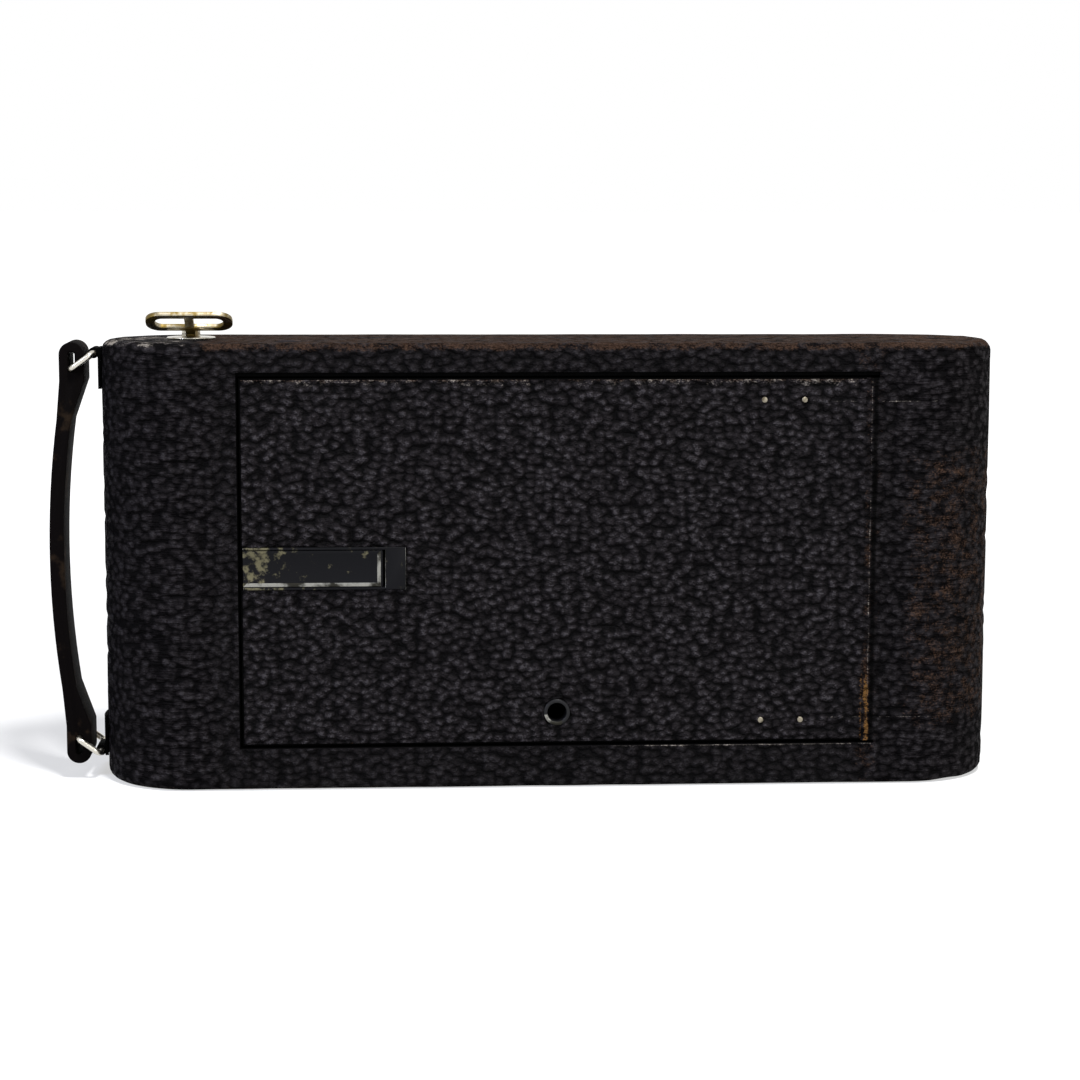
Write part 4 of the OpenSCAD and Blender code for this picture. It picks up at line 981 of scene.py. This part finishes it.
def lens_body(name, node, front, back):
    """Round glass between the ends of a node, domed by the given heights in front and behind."""
    low, high = span(node)
    radius = (high.x - low.x) / 2
    centre = middle(node)
    bm = bmesh.new()

    def dome(y, height, rings=8):
        chain = [bm.verts.new((centre.x, y - height, centre.z))]
        for i in range(1, rings + 1):
            share = i / rings
            v = bmesh.ops.extrude_vert_indiv(bm, verts=[chain[-1]])["verts"][0]
            v.co = Vector((centre.x + radius * share, y - height * (1 - share * share), centre.z))
            chain.append(v)
        return chain

    first, second = dome(low.y, front), dome(high.y, back)
    bm.edges.new((first[-1], second[-1]))
    bmesh.ops.spin(bm, geom=bm.verts[:] + bm.edges[:], cent=centre, axis=(0, 1, 0), angle=2 * math.pi,
                   steps=48, use_merge=True)
    bmesh.ops.remove_doubles(bm, verts=bm.verts, dist=0.005)
    bmesh.ops.recalc_face_normals(bm, faces=bm.faces)
    finish_piece(name, bm, [finishes["glass"]], "standard", [node], sharp=50)


class Lenses(bpy.types.Operator):
    """Makes the domed front and rear glasses of the lens"""
    bl_idname = "pocket_camera.lenses"
    bl_label = "Lenses"

    def execute(self, context):
        lens_body("front_element", "front_glass", 1.1, 0.5)
        lens_body("rear_element", "rear_glass", -0.4, -0.8)
        return {"FINISHED"}


class Stitching(bpy.types.Operator):
    """Makes the two rows of stitches on each face of the carrying strap"""
    bl_idname = "pocket_camera.stitching"
    bl_label = "Stitching"

    def execute(self, context):
        # The strap's bars, how far it bows out between them, its thickness and half its span
        bar_x, rise, thick, half_span = -127.8, 4.9, 3.8, 50
        radius = (half_span ** 2 + rise ** 2) / (2 * rise)
        centre = Matrix.Translation((bar_x - rise + radius, 0, middle("strap").z))
        pitch, row_y, each_way, proud = 2.7, 5.3, 13, 0.1
        stitch = Matrix.Diagonal((0.22, 0.28, 0.95, 1))
        bm = bmesh.new()
        for face in (-1, 1):
            r = radius + face * (thick / 2 - proud)
            for row in (-row_y, row_y):
                for i in range(-each_way, each_way + 1):
                    place = (centre @ Matrix.Rotation(i * pitch / radius, 4, "Y")
                             @ Matrix.Translation((-r, row, 0)) @ stitch)
                    bmesh.ops.create_icosphere(bm, subdivisions=1, radius=1, matrix=place)
        finish_piece("strap_stitches", bm, [finishes["thread"]], "carry_strap")
        return {"FINISHED"}


class Stage(bpy.types.Operator):
    """Makes the pale floor, the soft lights and the view"""
    bl_idname = "pocket_camera.stage"
    bl_label = "Stage"

    def execute(self, context):
        scene = context.scene
        self.floor(scene.camera_stage)
        self.world(scene)
        self.lights()
        self.view(scene, scene.camera_stage)
        scene.view_settings.view_transform = "Standard"
        return {"FINISHED"}

    def view(self, scene, settings):
        """View of the door's side, from a little above it."""
        data = bpy.data.cameras.new("view")
        data.lens = settings.focal
        data.sensor_width = 36
        view = add_object("view", data)
        view.matrix_world = (Matrix.Translation(settings.view_place)
                             @ Matrix.Rotation(-settings.view_aside, 4, "Z")
                             @ Matrix.Rotation(math.pi / 2 - settings.view_down, 4, "X")
                             @ Matrix.Rotation(settings.view_roll, 4, "Z"))
        scene.camera = view

    def background_ray(self, add):
        """1 for a ray from the view, a reflection or a glass, which see the white studio."""
        view, glossy, through = (add("ray", output=f"Is {kind} Ray")
                                 for kind in ("Camera", "Glossy", "Transmission"))
        return add("larger", add("larger", view, glossy), through)

    def floor(self, settings):
        """Matt pale paper that glows like the studio, less near the object, so that its shadow shows."""
        bm = bmesh.new()
        bmesh.ops.create_grid(bm, x_segments=1, y_segments=1, size=20)
        mesh = bpy.data.meshes.new("floor")
        bm.to_mesh(mesh)
        bm.free()
        floor = add_object("floor", mesh)
        material, shader, add = new_material("matt_paper")
        glow = add("step", add("length", add("place")), 0.2, 0.7, 0.55, 1.0)
        set_node(shader, Base_Color=settings.floor, Roughness=0.9, Specular_IOR_Level=0.0,
                 Emission_Color=(1, 1, 1), Emission_Strength=add("product", self.background_ray(add), glow))
        mesh.materials.append(material)

    def world(self, scene):
        """White studio for the view and reflections, and a dimmer one that lights the object."""
        world = bpy.data.worlds.new("studio")
        scene.world = world
        world.use_nodes = True
        tree = world.node_tree
        add = partial(add_node, tree)
        set_node(tree.nodes["Background"], Color=(1, 1, 1),
                 Strength=add("step", self.background_ray(add), 0.0, 1.0, 0.22, 1.0))

    def lights(self):
        """Soft lamps, in metres and watts: from above on the right, from the left, and low in front."""
        for name, place, width, power, tint in (
                ("key", (0.2, -0.6, 1.25), 0.22, 22, "#ffffff"),
                ("fill", (-0.9, -0.75, 0.6), 0.2, 7, "#d6e0ff"),
                ("front", (0.5, -1.1, 0.45), 0.2, 2.5, "#ffffff")):
            data = bpy.data.lights.new(name, "AREA")
            data.size = width
            data.energy = power
            data.color = linear(tint)
            lamp = add_object(name, data)
            aim = (Vector((0, 0, LENS_Z * MM)) - Vector(place)).to_track_quat("-Z", "Y")
            lamp.matrix_world = Matrix.Translation(place) @ aim.to_matrix().to_4x4()


class PocketCameraPanel(bpy.types.Panel):
    """Lists the makers of the pieces and the stage"""
    bl_idname = "VIEW3D_PT_pocket_camera"
    bl_label = "Pocket camera"
    bl_space_type = "VIEW_3D"
    bl_region_type = "UI"
    bl_category = "Pocket camera"

    def draw(self, context):
        for maker in MAKERS:
            self.layout.operator(maker.bl_idname)


GROUPS = {"camera_leather": LeatherSettings, "camera_metal": MetalSettings, "camera_glass": GlassSettings,
          "camera_stage": StageSettings}
MAKERS = [Finishes, BodyCovering, Fittings, Bellows, Lenses, Stitching, Stage]


def register():
    """Registers the settings, the makers and the panel."""
    for group in GROUPS.values():
        bpy.utils.register_class(group)
    for name, group in GROUPS.items():
        setattr(bpy.types.Scene, name, bpy.props.PointerProperty(type=group))
    for maker in MAKERS + [PocketCameraPanel]:
        bpy.utils.register_class(maker)


def unregister():
    """Takes back what register did."""
    for maker in reversed(MAKERS + [PocketCameraPanel]):
        bpy.utils.unregister_class(maker)
    for name, group in reversed(GROUPS.items()):
        delattr(bpy.types.Scene, name)
        bpy.utils.unregister_class(group)


def main():
    """Makes every piece in order."""
    register()
    for maker in MAKERS:
        area, name = maker.bl_idname.split(".")
        getattr(getattr(bpy.ops, area), name)()


if __name__ == "__main__":
    main()
